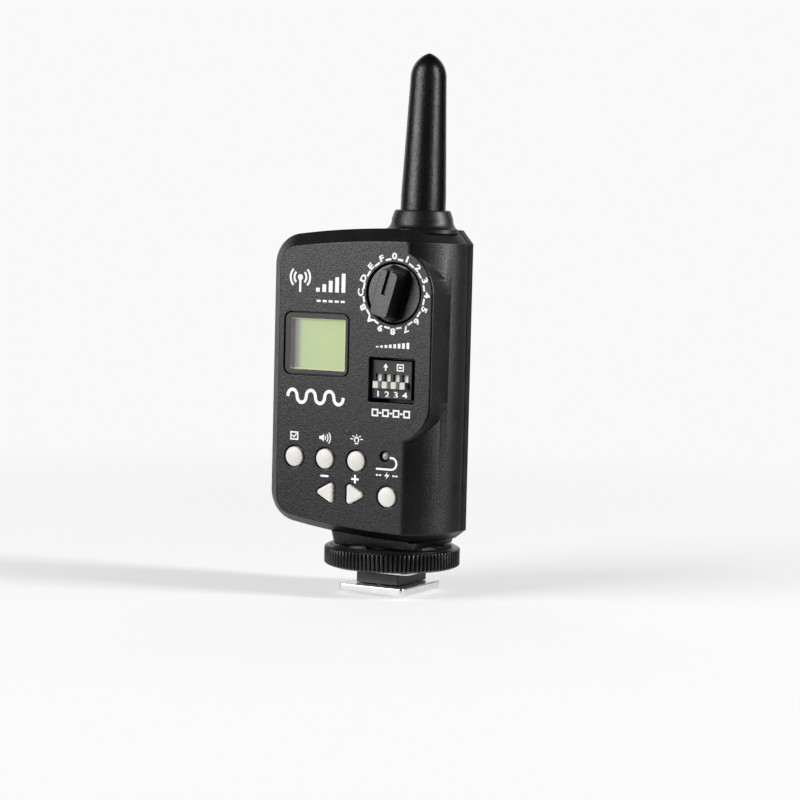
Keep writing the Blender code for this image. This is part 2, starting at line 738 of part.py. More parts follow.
def contact_coil(name, x, floor, grow):
    curve = bpy.data.curves.new(name, "CURVE")
    curve.dimensions = "3D"
    curve.bevel_depth = 0.25 * MM
    curve.bevel_resolution = 1
    curve.use_fill_caps = True
    turns, per_turn, height = 2.5, 12, 1.6
    count = int(turns * per_turn)
    spline = curve.splines.new("POLY")
    spline.points.add(count)
    for k, point in enumerate(spline.points):
        angle = 2 * math.pi * k / per_turn
        radius = 3.6 - 1.9 * k / count
        rise = floor + grow * (0.6 + height * k / count)
        spot = (x + radius * math.cos(angle), CELL_Y + radius * math.sin(angle), rise)
        point.co = (*[value * MM for value in spot], 1.0)
    return curve_to_mesh(name, curve)


# ---------------------------------------------------------------- left side

def make_side_parts(black, grey):
    """Sync socket and power switch behind the left wall."""
    inside = LEFT + WALL + GAP
    jack = box("sync_jack", (inside, inside + 8), (JACK_Y - 2.9, JACK_Y + 2.9),
               (JACK_Z - 3, JACK_Z + 3), 0.3)
    nose = cylinder("jack_nose", 2.6, 0, 3)
    bore = cylinder("jack_bore", JACK_BORE, -1, 7, sides=20)
    for piece, x in ((nose, LEFT + 1.7), (bore, LEFT + 2.8)):
        piece.rotation_euler = (0.0, math.pi / 2, 0.0)
        piece.location = (x * MM, JACK_Y * MM, JACK_Z * MM)
    join(jack, nose)
    cut(jack, bore)
    finish(jack, black)
    body = box("power_switch_body", (inside + 0.4, inside + 6.4), (SWITCH_Y - 2.5, SWITCH_Y + 2.5),
               (SWITCH_Z - 4.5, SWITCH_Z + 4.5), 0.3)
    finish(body, grey)
    low = SWITCH_Z - SWITCH_TRAVEL / 2
    knob = box("power_slider", (LEFT - 1.2, inside + 0.1), (SWITCH_Y - 1.4, SWITCH_Y + 1.4),
               (low - 1.6, low + 1.6))
    for number in range(3):
        z = low - 0.9 + 0.9 * number
        cut(knob, box(f"slider_groove_{number}", (LEFT - 2, LEFT - 0.9), (SWITCH_Y - 3, SWITCH_Y + 3),
                      (z - 0.15, z + 0.15)))
    finish(knob, black)


# ---------------------------------------------------------------- antenna

def sleeve_radius(z):
    """Outer radius of the rubber sleeve: a straight taper that ends in an ogive."""
    shoulder = ANTENNA_TIP - OGIVE
    along = (z - COLLAR_TOP) / (shoulder - COLLAR_TOP)
    taper = ANTENNA_BASE_RADIUS + (ANTENNA_TIP_RADIUS - ANTENNA_BASE_RADIUS) * min(along, 1.0)
    if z <= shoulder:
        return taper
    return taper * (1.0 - ((z - shoulder) / OGIVE) ** 2.4) ** 0.75


def make_antenna(rubber, wire):
    foot = SOCKET_FLOOR + 0.3
    levels = [ANTENNA_TIP - OGIVE * (1 - math.cos(math.pi / 2 * k / 9)) for k in range(10)]
    profile = [(sleeve_radius(z) if k else 0.0, z - foot) for k, z in enumerate(levels)]
    profile += [(ANTENNA_BASE_RADIUS, COLLAR_TOP - foot), (ANTENNA_BASE_RADIUS - 0.1, 0.0), (1.4, 0.0),
                (1.4, 36.0), (0.0, 36.0)]
    sleeve = turned("antenna_sleeve", profile, 32)
    rod = turned("antenna_rod", [(0.0, 35.6), (1.1, 35.6), (1.1, -9.0), (0.0, -9.0)], 12)
    for piece, look in ((sleeve, rubber), (rod, wire)):
        piece.location = (ANTENNA_X * MM, ANTENNA_Y * MM, foot * MM)
        piece.rotation_euler = (0.0, ANTENNA_LEAN, 0.0)
        finish(piece, look)


# ---------------------------------------------------------------- hot-shoe foot

def make_pedestal(look):
    side = PEDESTAL_HALF
    front, rear = PEDESTAL_FRONT, PEDESTAL_REAR
    corners = [(-side, front), (side, front), (side, rear), (-side, rear)]
    block = outline("foot_pedestal", [rounded(corners, 3.0)], PEDESTAL_TOP - PEDESTAL_BOTTOM)
    for vertex in block.data.vertices:
        if vertex.co.z < 0.0:
            vertex.co.x *= 0.94
            vertex.co.y *= 0.94
    block.location.z = (PEDESTAL_TOP + PEDESTAL_BOTTOM) / 2 * MM
    cut(block, case_front("front_saddle", -GAP, SEAM), case_rear("rear_saddle", -GAP, SEAM - 0.1))
    cut(block, box("pedestal_hollow", (-9, 9), (4.0, 11.2), (PEDESTAL_BOTTOM + 1.6, 20)))
    for y in (-FOOT_SCREW_Y, FOOT_SCREW_Y):
        cut(block, cylinder("pedestal_bore", FOOT_BORE, 10, 14.0, 0, y, 16))
    return finish(block, look)


def make_plate_and_neck(metal, dark):
    ys = (PLATE_FRONT, PLATE_REAR)
    corners = [(-PLATE_HALF, ys[0]), (PLATE_HALF, ys[0]), (PLATE_HALF, ys[1]), (-PLATE_HALF, ys[1])]
    plate = outline("foot_plate", [rounded(corners, 1.0)], PLATE_THICK)
    plate.location.z = PLATE_THICK / 2 * MM
    cut(plate, cylinder("plate_bore", 2.7, -1, 3))
    neck = box("foot_neck", (-NECK_HALF_X, NECK_HALF_X), (-NECK_HALF_Y, NECK_HALF_Y),
               (PLATE_THICK + GAP, NECK_TOP))
    cut(neck, cylinder("neck_bore", 2.0, 0, 6, sides=20))
    stem = turned("foot_stem", [(STEM_RADIUS, PEDESTAL_BOTTOM - GAP), (STEM_RADIUS, NECK_TOP + GAP),
                                (2.0, NECK_TOP + GAP), (2.0, PEDESTAL_BOTTOM - GAP)], 32)
    for y in (-FOOT_SCREW_Y, FOOT_SCREW_Y):
        for body in (plate, neck, stem):
            cut(body, cylinder("foot_screw_bore", FOOT_BORE, -1, 13, 0, y, 16))
        cut(plate, cylinder("foot_screw_sink", FOOT_SINK, -1, 1.2, 0, y, 20))
    finish(plate, metal)
    finish(neck, dark)
    finish(stem, metal)


def make_contact(metal, white):
    ring = [(2.4, PLATE_THICK), (2.4, 0.1), (1.5, 0.1), (1.5, PLATE_THICK)]
    finish(turned("contact_insulator", ring, 24), white)
    profile = [(0.0, 6.0), (1.2, 6.0), (1.2, -0.3), (0.9, -0.6), (0.0, -0.7)]
    finish(turned("contact_pin", profile, 20), metal)


def ridged_circle(radius):
    """Knurl outline: one crest and one root for each ridge."""
    points = []
    for k in range(2 * RIDGES):
        angle = math.pi * k / RIDGES
        reach = radius - (RIDGE_DEPTH if k % 2 else 0.0)
        points.append((reach * math.cos(angle), reach * math.sin(angle)))
    return points


def make_lock_wheel(look):
    """Knurled ring that screws down the stem, with a recess round the pedestal side."""
    crest = WHEEL_RADIUS
    root = crest - RIDGE_DEPTH
    bore = STEM_RADIUS + GAP
    profile = [(root - 0.9, WHEEL_TOP), (root - 0.1, WHEEL_KNURL_TOP - 0.1),
               (root - 0.1, WHEEL_BOTTOM + 0.4), (root - 0.5, WHEEL_BOTTOM), (bore, WHEEL_BOTTOM),
               (bore, WHEEL_TOP - 1.4), (WHEEL_RECESS, WHEEL_TOP - 1.4), (WHEEL_RECESS, WHEEL_TOP)]
    wheel = turned("lock_wheel", profile, 64)
    knurl = outline("knurl", [ridged_circle(crest), circle((0, 0), 15.0, 48)[::-1]],
                    WHEEL_KNURL_TOP - WHEEL_BOTTOM - 0.4)
    knurl.location.z = (WHEEL_KNURL_TOP + WHEEL_BOTTOM + 0.4) / 2 * MM
    join(wheel, knurl)
    return finish(wheel, look)


def make_washer(look):
    high = WHEEL_BOTTOM - GAP
    opening = (2 * (STEM_RADIUS + GAP), 2 * (NECK_HALF_Y + GAP))
    outer = (opening[0] + 2 * WASHER_RIM, opening[1] + 2 * WASHER_RIM)
    loops = [rectangle((0, 0), outer, 2.0), rectangle((0, 0), opening)[::-1]]
    washer = outline("clamp_washer", loops, WASHER_THICK)
    washer.location.z = (high - WASHER_THICK / 2) * MM
    return finish(washer, look)


# ---------------------------------------------------------------- fixings

def make_screws(look):
    for number, (x, z, _) in enumerate(CASE_SCREWS, 1):
        shank = SCREW_SEAT - SCREW_END
        profile = [(0.0, shank), (0.9, shank), (0.9, 0.3), (1.9, -0.3), (1.9, -1.3), (1.6, -1.5),
                   (0.0, -1.5)]
        screw = turned(f"case_screw_{number}", profile, 16)
        to_front(screw, x, SCREW_SEAT + 0.35, z)
        cut(screw, box(f"case_screw_slot_{number}", (x - 1.1, x + 1.1), (SCREW_SEAT + 1.2, 14),
                       (z - 0.3, z + 0.3)))
        finish(screw, look)
    for number, y in ((1, -FOOT_SCREW_Y), (2, FOOT_SCREW_Y)):
        profile = [(0.0, 13.6), (1.1, 13.6), (1.1, 1.0), (2.1, 0.4), (2.1, 0.1), (0.0, 0.1)]
        screw = turned(f"foot_screw_{number}", profile, 16)
        screw.location = (0.0, y * MM, 0.0)
        finish(screw, look)


def build():
    shell = material("black ABS", (0.018, 0.018, 0.019), 0.55)
    satin = material("black rubber", (0.012, 0.012, 0.013), 0.45)
    steel = material("nickelled steel", (0.75, 0.74, 0.71), 0.25, 1.0)
    white = material("ivory ABS", (0.80, 0.76, 0.68), 0.4)
    clear = material("clear acrylic", (0.85, 0.88, 0.85), 0.05)
    green = material("display green", (0.52, 0.60, 0.16), 0.4)
    board = material("board green", (0.02, 0.12, 0.05), 0.5)
    switch = material("switch grey", (0.09, 0.09, 0.10), 0.5)
    cell = material("cell wrap", (0.10, 0.16, 0.34), 0.35)
    make_front_case(shell)
    make_rear_case(shell)
    make_door(shell)
    make_display(clear, switch, green)
    make_board(board)
    make_buttons(white)
    make_tact_switches(switch)
    make_led(clear)
    make_dial(shell)
    make_rotary_switch(switch)
    make_dip_switch(switch, white)
    make_cells(cell)
    make_contacts(steel)
    make_side_parts(satin, switch)
    make_antenna(satin, steel)
    make_pedestal(shell)
    make_plate_and_neck(steel, satin)
    make_contact(steel, white)
    make_lock_wheel(shell)
    make_washer(steel)
    make_screws(steel)


build()
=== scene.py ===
"""Looks of a hot-shoe radio flash trigger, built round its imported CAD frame.

X is to the right as the control face is read, Y to the rear, Z up. Dimensions are in millimetres
until a mesh is made, and the origin is the centre of the foot's underside.
"""

import math

import bmesh
import bpy
from mathutils import Matrix, Vector


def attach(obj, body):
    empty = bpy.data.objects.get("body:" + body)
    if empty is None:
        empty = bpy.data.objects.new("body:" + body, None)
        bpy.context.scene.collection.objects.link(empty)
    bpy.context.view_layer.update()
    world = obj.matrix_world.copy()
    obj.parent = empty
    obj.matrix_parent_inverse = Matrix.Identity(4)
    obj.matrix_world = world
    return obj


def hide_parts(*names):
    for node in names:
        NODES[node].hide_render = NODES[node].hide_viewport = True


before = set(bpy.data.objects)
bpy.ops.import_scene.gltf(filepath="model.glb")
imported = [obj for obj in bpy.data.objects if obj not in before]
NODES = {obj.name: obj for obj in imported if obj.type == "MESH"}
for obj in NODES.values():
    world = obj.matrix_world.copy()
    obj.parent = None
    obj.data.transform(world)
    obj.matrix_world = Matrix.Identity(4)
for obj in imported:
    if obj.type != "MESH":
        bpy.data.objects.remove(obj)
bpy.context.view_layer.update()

MM = 0.001
GAP = 0.3

# Case
FRONT = -14.3
SEAM = 2.4
REAR = 7.3
LEFT = -29.8
RIGHT = 18.5
BOTTOM = 13.9
TOP = 92.5
WALL = 1.8
CROWN_X = 7.0
CROWN_RADIUS = 225.0
BASE_CROWN_X = 11.6
BASE_CROWN_RADIUS = 205.0
BASE_RISE = 2.2
CORNER_RADIUS = 8.0
FACE_RISE = 3.3
FACE_DEPTH = 3.2
SIDE_CHAMFER = 2.9
SWEEP_RADIUS = 18.4
SWEEP_Y = 0.9
BLEND = 3.4                 # rounding between the face and the sweep
REAR_CHAMFER = 2.2
EDGE = 0.45                 # rounding of the case's moulded edges
TONGUE_INSET = 0.75         # bottom of the groove at the seam
# (distance from the seam, inset) down the edge of each shell into that groove
SEAM_EDGE = [(0.3, 0.0), (0.12, 0.04), (0.03, 0.13), (0.0, 0.3), (0.0, TONGUE_INSET)]
COLUMN_X = 6.35
ISLAND_RADIUS = 11.1
ISLAND_LOW_Z = 49.2
ISLAND_LOW_RADIUS = 10.5

# Battery housing
PACK_X = -5.65
PACK_HALF = 20.35
PACK_BOTTOM = 15.5
PACK_TOP = 76.0
PACK_REAR = 12.5
DOOR_HALF = 13.0
DOOR_Y = 10.9
DOOR_BOTTOM = 20.6
RECESS_TOP = 78.0           # the door's recess ends above the pack

# Controls
DIAL_Z = 76.35
DIAL_HOLE = 7.75
DIAL_RADIUS = 7.35
DIAL_FLOOR = -14.0
DIAL_TOP = -19.4
BAR_TURN = math.radians(-16.5)
BAR_TOP = (5.15, 11.8)      # width and length of the grip bar where it is narrowest
BAR_FOOT = (6.1, 13.3)
WINDOW_CENTRE = (-15.55, 62.7)
WINDOW_SIZE = (18.9, 16.05)
LCD_CENTRE = (-15.55, 62.65)
LCD_SIZE = (16.0, 13.1)
DIP_CENTRE = (5.7, 54.7)
DIP_SIZE = (11.4, 9.6)
DIP_PITCH = 2.54
DIP_FACE = -13.0
DIP_SLOT = (1.72, 3.9)
DIP_LEVER = (1.56, 1.75)
ROW_Z = 33.8
ROW_X = {"set": -21.3, "buzz": -12.3, "lamp": -3.2}
TEST_AT = (5.85, 25.35)
ARROW_Z = 25.3
ARROWS = {"minus": (-12.3, -1), "plus": (-2.9, 1)}
LED_AT = (4.9, 35.5)
FACE_INSIDE = -8.0          # how deep openings are cut behind the face
CAP_BACK = -11.3
CAP_RADIUS = 2.5
CAP_HOLE = 2.95
CASE_SCREWS = [(-23.3, 84.2), (14.0, 85.5), (-22.3, 19.4), (11.0, 19.4)]
SCREW_SEAT = 5.6
JACK_AT = (-3.0, 62.0)
SWITCH_AT = (-3.0, 40.0)

# Antenna and foot
ANTENNA_AT = (7.5, -2.0)
ANTENNA_LEAN = math.radians(1.1)
SOCKET_FLOOR = 92.7
COLLAR_TOP = 97.2
ANTENNA_TIP = 136.5
OGIVE = 6.7
SLEEVE_RADIUS = 5.7
SLEEVE_TIP_RADIUS = 4.42
SLEEVE_SWELL = 0.12         # how much the sleeve swells just above the collar
FOOT_SCREW_Y = 5.4
PLATE_SIZE = (18.6, 20.8)
NECK_SIZE = (12.4, 15.2)
STEM_RADIUS = 7.2
WHEEL_RADIUS = 17.4
RIDGES = 96

SHARP = math.radians(32)
BACKGROUND = 0.95


# ---------------------------------------------------------------- materials

def new_material(name):
    made = bpy.data.materials.new(name)
    made.use_nodes = True
    return made, made.node_tree, made.node_tree.nodes["Principled BSDF"]


def add(tree, kind, **values):
    node = tree.nodes.new(kind)
    for key, value in values.items():
        if key in node.inputs:
            node.inputs[key].default_value = value
        else:
            setattr(node, key, value)
    return node


def noise_on(tree, coords, size, detail=2.0, stretch=(1.0, 1.0, 1.0)):
    """Noise with features of about size millimetres."""
    mapping = add(tree, "ShaderNodeMapping")
    mapping.inputs["Scale"].default_value = [s / (size * MM) for s in stretch]
    tree.links.new(coords, mapping.inputs["Vector"])
    noise = add(tree, "ShaderNodeTexNoise", Scale=1.0, Detail=detail)
    tree.links.new(mapping.outputs["Vector"], noise.inputs["Vector"])
    return noise.outputs["Fac"]


def spread(tree, value, low, high, start=0.25, end=0.75):
    """Carry the middle of a noise's range onto low..high."""
    node = add(tree, "ShaderNodeMapRange")
    for key, number in (("From Min", start), ("From Max", end), ("To Min", low), ("To Max", high)):
        node.inputs[key].default_value = number
    tree.links.new(value, node.inputs["Value"])
    return node.outputs["Result"]


def tint(tree, value, dark, light):
    ramp = add(tree, "ShaderNodeMix", data_type="RGBA")
    ramp.inputs[6].default_value = (*dark, 1.0)
    ramp.inputs[7].default_value = (*light, 1.0)
    tree.links.new(value, ramp.inputs[0])
    return ramp.outputs[2]


def bump_from(tree, shader, height, depth):
    """Relief of depth millimetres between a height of 0 and 1."""
    bump = add(tree, "ShaderNodeBump", Strength=1.0, Distance=depth * MM)
    tree.links.new(height, bump.inputs["Height"])
    tree.links.new(bump.outputs["Normal"], shader.inputs["Normal"])


def shade(colour, factor):
    return [min(1.0, c * factor) for c in colour]


def moulded(name, colour, rough, grain=0.3, relief=0.012, mottle=0.12, specular=0.5, speckle=0.1):
    """Moulded plastic or rubber: a spark-eroded grain, faint clouding and uneven gloss."""
    made, tree, shader = new_material(name)
    coords = add(tree, "ShaderNodeTexCoord").outputs["Object"]
    clouds = noise_on(tree, coords, 6.0, 3.0)
    fine = noise_on(tree, coords, grain, 2.0)
    base = tint(tree, spread(tree, clouds, 0.0, 1.0), shade(colour, 1 - mottle), shade(colour, 1 + mottle))
    tree.links.new(base, shader.inputs["Base Color"])
    tree.links.new(spread(tree, clouds, rough - 0.03, rough + 0.04), shader.inputs["Roughness"])
    glints = spread(tree, fine, specular * (1 - speckle), specular * (1 + speckle), 0.3, 0.7)
    tree.links.new(glints, shader.inputs["Specular IOR Level"])
    bump_from(tree, shader, fine, relief)
    return made


def metal(name, colour, rough, stretch=(1.0, 1.0, 1.0), grain=0.4, relief=0.002):
    """Plated or turned metal with fine marks drawn out along one axis."""
    made, tree, shader = new_material(name)
    coords = add(tree, "ShaderNodeTexCoord").outputs["Object"]
    marks = noise_on(tree, coords, grain, 4.0, stretch)
    clouds = noise_on(tree, coords, 3.0, 2.0)
    base = tint(tree, spread(tree, clouds, 0.0, 1.0), shade(colour, 0.92), shade(colour, 1.03))
    tree.links.new(base, shader.inputs["Base Color"])
    tree.links.new(spread(tree, marks, rough - 0.05, rough + 0.08), shader.inputs["Roughness"])
    shader.inputs["Metallic"].default_value = 1.0
    bump_from(tree, shader, marks, relief)
    return made


def pane_material():
    """Clear acrylic, thin enough to see straight through."""
    made, tree, shader = new_material("acrylic_pane")
    output = tree.nodes["Material Output"]
    tree.nodes.remove(shader)
    coords = add(tree, "ShaderNodeTexCoord").outputs["Object"]
    gloss = add(tree, "ShaderNodeBsdfAnisotropic")
    smears = noise_on(tree, coords, 4.0, 3.0)
    tree.links.new(spread(tree, smears, 0.03, 0.10), gloss.inputs["Roughness"])
    clear = add(tree, "ShaderNodeBsdfTransparent")
    clear.inputs["Color"].default_value = (0.96, 0.97, 0.95, 1.0)
    fresnel = add(tree, "ShaderNodeFresnel", IOR=1.49)
    mix = add(tree, "ShaderNodeMixShader")
    tree.links.new(fresnel.outputs["Fac"], mix.inputs[0])
    tree.links.new(clear.outputs[0], mix.inputs[1])
    tree.links.new(gloss.outputs[0], mix.inputs[2])
    tree.links.new(mix.outputs[0], output.inputs["Surface"])
    return made


def lcd_material():
    """Reflective display, yellow-green and paler along its other edges, with painted light: the grey strip
    at its left edge stands in for the lit left wall of its recess, and a painted glow brightens it.
    """
    made, tree, shader = new_material("display_film_glowing")
    coords = add(tree, "ShaderNodeTexCoord").outputs["Object"]
    split = add(tree, "ShaderNodeSeparateXYZ")
    tree.links.new(coords, split.inputs[0])
    left = (LCD_CENTRE[0] - LCD_SIZE[0] / 2) * MM
    low = (LCD_CENTRE[1] - LCD_SIZE[1] / 2) * MM
    drift = noise_on(tree, coords, 9.0, 1.0)
    green = tint(tree, spread(tree, drift, 0.0, 1.0, 0.35, 0.65), (0.66, 0.78, 0.50), (0.72, 0.80, 0.46))
    # painted: the grey strip along the left edge stands in for the lit left wall of the display's recess
    fade = spread(tree, split.outputs["X"], 0.0, 1.0, left + 1.7 * MM, left + 2.9 * MM)
    body = add(tree, "ShaderNodeMix", data_type="RGBA")
    body.inputs[6].default_value = (0.40, 0.37, 0.39, 1.0)
    tree.links.new(fade, body.inputs[0])
    tree.links.new(green, body.inputs[7])
    edges = [spread(tree, split.outputs["X"], 0.0, 1.0, left + 15.2 * MM, left + 15.45 * MM),
             spread(tree, split.outputs["Z"], 0.0, 1.0, low + 12.65 * MM, low + 12.9 * MM),
             spread(tree, split.outputs["Z"], 1.0, 0.0, low + 0.2 * MM, low + 0.45 * MM)]
    rim = edges[0]
    for other in edges[1:]:
        top = add(tree, "ShaderNodeMath", operation="MAXIMUM")
        tree.links.new(rim, top.inputs[0])
        tree.links.new(other, top.inputs[1])
        rim = top.outputs[0]
    whole = add(tree, "ShaderNodeMix", data_type="RGBA")
    whole.inputs[7].default_value = (0.84, 0.88, 0.55, 1.0)
    tree.links.new(rim, whole.inputs[0])
    tree.links.new(body.outputs[2], whole.inputs[6])
    tree.links.new(whole.outputs[2], shader.inputs["Base Color"])
    # painted glow: the display is reflective with no light behind it, so this emission stands in for light
    # it does not get
    tree.links.new(whole.outputs[2], shader.inputs["Emission Color"])
    shader.inputs["Emission Strength"].default_value = 0.36
    shader.inputs["Roughness"].default_value = 0.45
    bump_from(tree, shader, noise_on(tree, coords, 0.2), 0.002)
    return made


MAT = {
    "shell": moulded("case_black", (0.0050, 0.0050, 0.0052), 0.38, 0.36, 0.050, 0.10, 0.47, 0.35),
    "dial": moulded("dial_black", (0.0140, 0.0137, 0.0132), 0.36, 0.34, 0.050, 0.12, 0.86, 0.45),
    "wheel": moulded("wheel_black", (0.004, 0.004, 0.004), 0.31, 0.25, 0.010, 0.10),
    "rubber": moulded("antenna_rubber", (0.0025, 0.0025, 0.0026), 0.33, 0.42, 0.050, 0.08, 0.5, 0.45),
    "trim": moulded("dark_trim", (0.012, 0.012, 0.0125), 0.46, 0.3, 0.010),
    # painted reflection: the black print is lightened to the grey of the gloss reflection in the window
    # over it
    "border": moulded("border_print_and_reflection", (0.034, 0.034, 0.035), 0.50, 0.5, 0.002),
    "dip": moulded("switch_black", (0.024, 0.024, 0.025), 0.50, 0.3, 0.010),
    "lever": moulded("lever_white", (0.82, 0.80, 0.75), 0.42, 0.5, 0.004, 0.03),
    "ivory": moulded("cap_ivory", (0.88, 0.86, 0.80), 0.36, 0.6, 0.004, 0.02),
    "legend": moulded("legend_ink_glowing", (0.92, 0.92, 0.92), 0.55, 0.3, 0.004, 0.03),
    "board": moulded("board_green", (0.004, 0.018, 0.009), 0.40, 1.2, 0.010, 0.25),
    "cell": moulded("cell_wrap", (0.10, 0.16, 0.34), 0.30, 2.0, 0.004, 0.10),
    # painted highlight: the lens grey is set far above a smoked lens's own to stand in for the glint on it
    "lens": moulded("lens_smoke_and_glint", (0.42, 0.42, 0.40), 0.12, 1.0, 0.001, 0.05, 0.8),
    "insulator": moulded("insulator_white", (0.74, 0.74, 0.71), 0.45, 0.4, 0.004, 0.05),
    "plate": metal("plated_bright", (0.86, 0.85, 0.83), 0.22, (1.0, 0.12, 1.0), 0.25, 0.003),
    "steel": metal("steel", (0.66, 0.65, 0.63), 0.30, (1.0, 1.0, 0.2)),
    "screw": metal("blackened_steel", (0.16, 0.16, 0.165), 0.38),
    "brass": metal("gilt_contact", (0.85, 0.66, 0.32), 0.26),
    "pane": pane_material(),
    "lcd": lcd_material(),
}


# Painted glow: the white print emits light so that it reads brighter than its lighting makes it.
INK = MAT["legend"].node_tree.nodes["Principled BSDF"]
INK.inputs["Emission Color"].default_value = (1.0, 1.0, 1.0, 1.0)
INK.inputs["Emission Strength"].default_value = 0.22


# ---------------------------------------------------------------- mesh helpers

def link(obj):
    bpy.context.scene.collection.objects.link(obj)
    return obj


def from_bmesh(name, shape):
    bmesh.ops.remove_doubles(shape, verts=shape.verts, dist=1e-6)
    bmesh.ops.dissolve_degenerate(shape, dist=1e-7, edges=shape.edges)
    bmesh.ops.recalc_face_normals(shape, faces=shape.faces)
    mesh = bpy.data.meshes.new(name)
    shape.to_mesh(mesh)
    shape.free()
    return link(bpy.data.objects.new(name, mesh))


def skin(name, rings, capped=True):
    """A surface through rings that have the same number of points."""
    shape = bmesh.new()
    rows = [[shape.verts.new([c * MM for c in point]) for point in ring] for ring in rings]
    count = len(rows[0])
    pairs = list(zip(rows, rows[1:]))
    if not capped:
        pairs.append((rows[-1], rows[0]))
    for first, second in pairs:
        for i in range(count):
            j = (i + 1) % count
            shape.faces.new((first[i], first[j], second[j], second[i]))
    if capped:
        shape.faces.new(rows[0][::-1])
        shape.faces.new(rows[-1])
    return from_bmesh(name, shape)


def facing(u, v, depth):
    """An outline in X and Z, carried along Y."""
    return (u, depth, v)


def upright(u, v, depth):
    """An outline in X and Y, carried along Z."""
    return (u, v, depth)


def sideways(u, v, depth):
    """An outline in Y and Z, carried along X."""
    return (depth, u, v)


def block(name, outline, path, way=facing):
    """A solid whose outline(offset) follows (depth, offset) pairs."""
    return skin(name, [[way(u, v, depth) for u, v in outline(offset)] for depth, offset in path])


def rounding(at, lip, sign, forward, steps=4):
    """Depth and offset round an edge at depth `at`: sign -1 rounds a solid's rim, +1 a hole's."""
    pairs = []
    for k in range(steps + 1):
        angle = math.pi / 2 * k / steps
        pairs.append((at + forward * lip * (1 - math.cos(angle)), sign * lip * (1 - math.sin(angle))))
    return pairs


def solid_path(front, back, lip, back_lip=None):
    """Path of a block with both rims rounded."""
    back_lip = lip if back_lip is None else back_lip
    return rounding(front, lip, -1, 1) + rounding(back, back_lip, -1, -1)[::-1]


def hole_path(front, back, lip):
    """Path of a cutter that leaves a rounded rim in the face at depth front."""
    outward = 1 if back > front else -1
    return [(front - outward * 0.6, lip)] + rounding(front, lip, 1, outward) + [(back, 0.0)]


def circle(centre, radius, steps=48):
    """Outline function of a circle."""
    def points(offset):
        r = radius + offset
        turns = [2 * math.pi * k / steps for k in range(steps)]
        return [(centre[0] + r * math.cos(a), centre[1] + r * math.sin(a)) for a in turns]
    return points


def polygon(corners, radius, steps=6):
    """Outline function of a convex anticlockwise polygon with rounded corners."""
    arcs = []
    count = len(corners)
    for i, corner in enumerate(corners):
        here = Vector(corner)
        before = (Vector(corners[i - 1]) - here).normalized()
        after = (Vector(corners[(i + 1) % count]) - here).normalized()
        half = before.angle(after) / 2
        centre = here + (before + after).normalized() * radius / math.sin(half)
        start = here + before * radius / math.tan(half) - centre
        arcs.append((centre, math.atan2(start.y, start.x), math.pi - 2 * half))

    def points(offset):
        r = radius + offset
        return [(c.x + r * math.cos(a + t * k / steps), c.y + r * math.sin(a + t * k / steps))
                for c, a, t in arcs for k in range(steps + 1)]
    return points


def rectangle(centre, size, radius, steps=6):
    x, z = centre
    w, h = size[0] / 2, size[1] / 2
    return polygon([(x - w, z - h), (x + w, z - h), (x + w, z + h), (x - w, z + h)], radius, steps)


def fillet(points, radius, steps=5):
    """Round the inner corners of an open 2D path."""
    out = [points[0]]
    for before, here, after in zip(points, points[1:], points[2:]):
        a, b, c = Vector(before), Vector(here), Vector(after)
        first, second = (a - b), (c - b)
        half = first.angle(second) / 2
        reach = min(radius / math.tan(half), first.length * 0.48, second.length * 0.48)
        for k in range(steps + 1):
            t = k / steps
            p = b + first.normalized() * reach * (1 - t) ** 2 + second.normalized() * reach * t ** 2
            out.append((p.x, p.y))
    out.append(points[-1])
    return out


def revolved(profile, way, at, base, forward, steps):
    """Rings about an axis through `at`, one for each (radius, height) point."""
    turns = [2 * math.pi * k / steps for k in range(steps)]
    return [[way(at[0] + r * math.cos(a), at[1] + r * math.sin(a), base + forward * h) for a in turns]
            for r, h in profile]


def turned(name, profile, way=upright, at=(0.0, 0.0), base=0.0, forward=1.0, steps=48):
    """A body of revolution from a profile that starts and ends on the axis."""
    clear_of_axis = [(max(r, 1e-4), h) for r, h in profile]
    return skin(name, revolved(clear_of_axis, way, at, base, forward, steps))


def ring_turned(name, profile, way=upright, at=(0.0, 0.0), base=0.0, forward=1.0, steps=64):
    """A body of revolution from a closed outline that stays off the axis."""
    return skin(name, revolved(profile, way, at, base, forward, steps), capped=False)


def bake(obj):
    """Apply an object's modifiers."""
    graph = bpy.context.evaluated_depsgraph_get()
    mesh = bpy.data.meshes.new_from_object(obj.evaluated_get(graph))
    obj.modifiers.clear()
    obj.data = mesh
    return obj


def boolean(obj, operation, others):
    for other in others:
        step = obj.modifiers.new("boolean", "BOOLEAN")
        step.operation = operation
        step.solver = "EXACT"
        step.object = other
    bake(obj)
    for other in others:
        bpy.data.objects.remove(other, do_unlink=True)
    return obj


def cut(obj, *others):
    return boolean(obj, "DIFFERENCE", others)


def join(obj, *others):
    return boolean(obj, "UNION", others)


def merge(name, pieces):
    """Several meshes as one object."""
    shape = bmesh.new()
    for piece in pieces:
        shape.from_mesh(piece.data)
        bpy.data.objects.remove(piece, do_unlink=True)
    mesh = bpy.data.meshes.new(name)
    shape.to_mesh(mesh)
    shape.free()
    return link(bpy.data.objects.new(name, mesh))


def finish(obj, look, body, slot, *replaced, sharp=SHARP):
    """Smooth a piece between its sharp edges, colour it and hang it on its body."""
    obj.data.materials.clear()
    obj.data.materials.append(MAT[look])
    obj.data.shade_smooth()
    obj.data.set_sharp_from_angle(angle=sharp)
    weighted = obj.modifiers.new("weighted", "WEIGHTED_NORMAL")
    weighted.keep_sharp = True
    bake(obj)
    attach(obj, body)
    if replaced:
        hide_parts(*replaced)
    return obj


# ---------------------------------------------------------------- case sections

def crown_drop(x):
    return CROWN_RADIUS - math.sqrt(CROWN_RADIUS ** 2 - (x - CROWN_X) ** 2)


def base_rise(x):
    return BASE_CROWN_RADIUS - math.sqrt(BASE_CROWN_RADIUS ** 2 - (x - BASE_CROWN_X) ** 2)


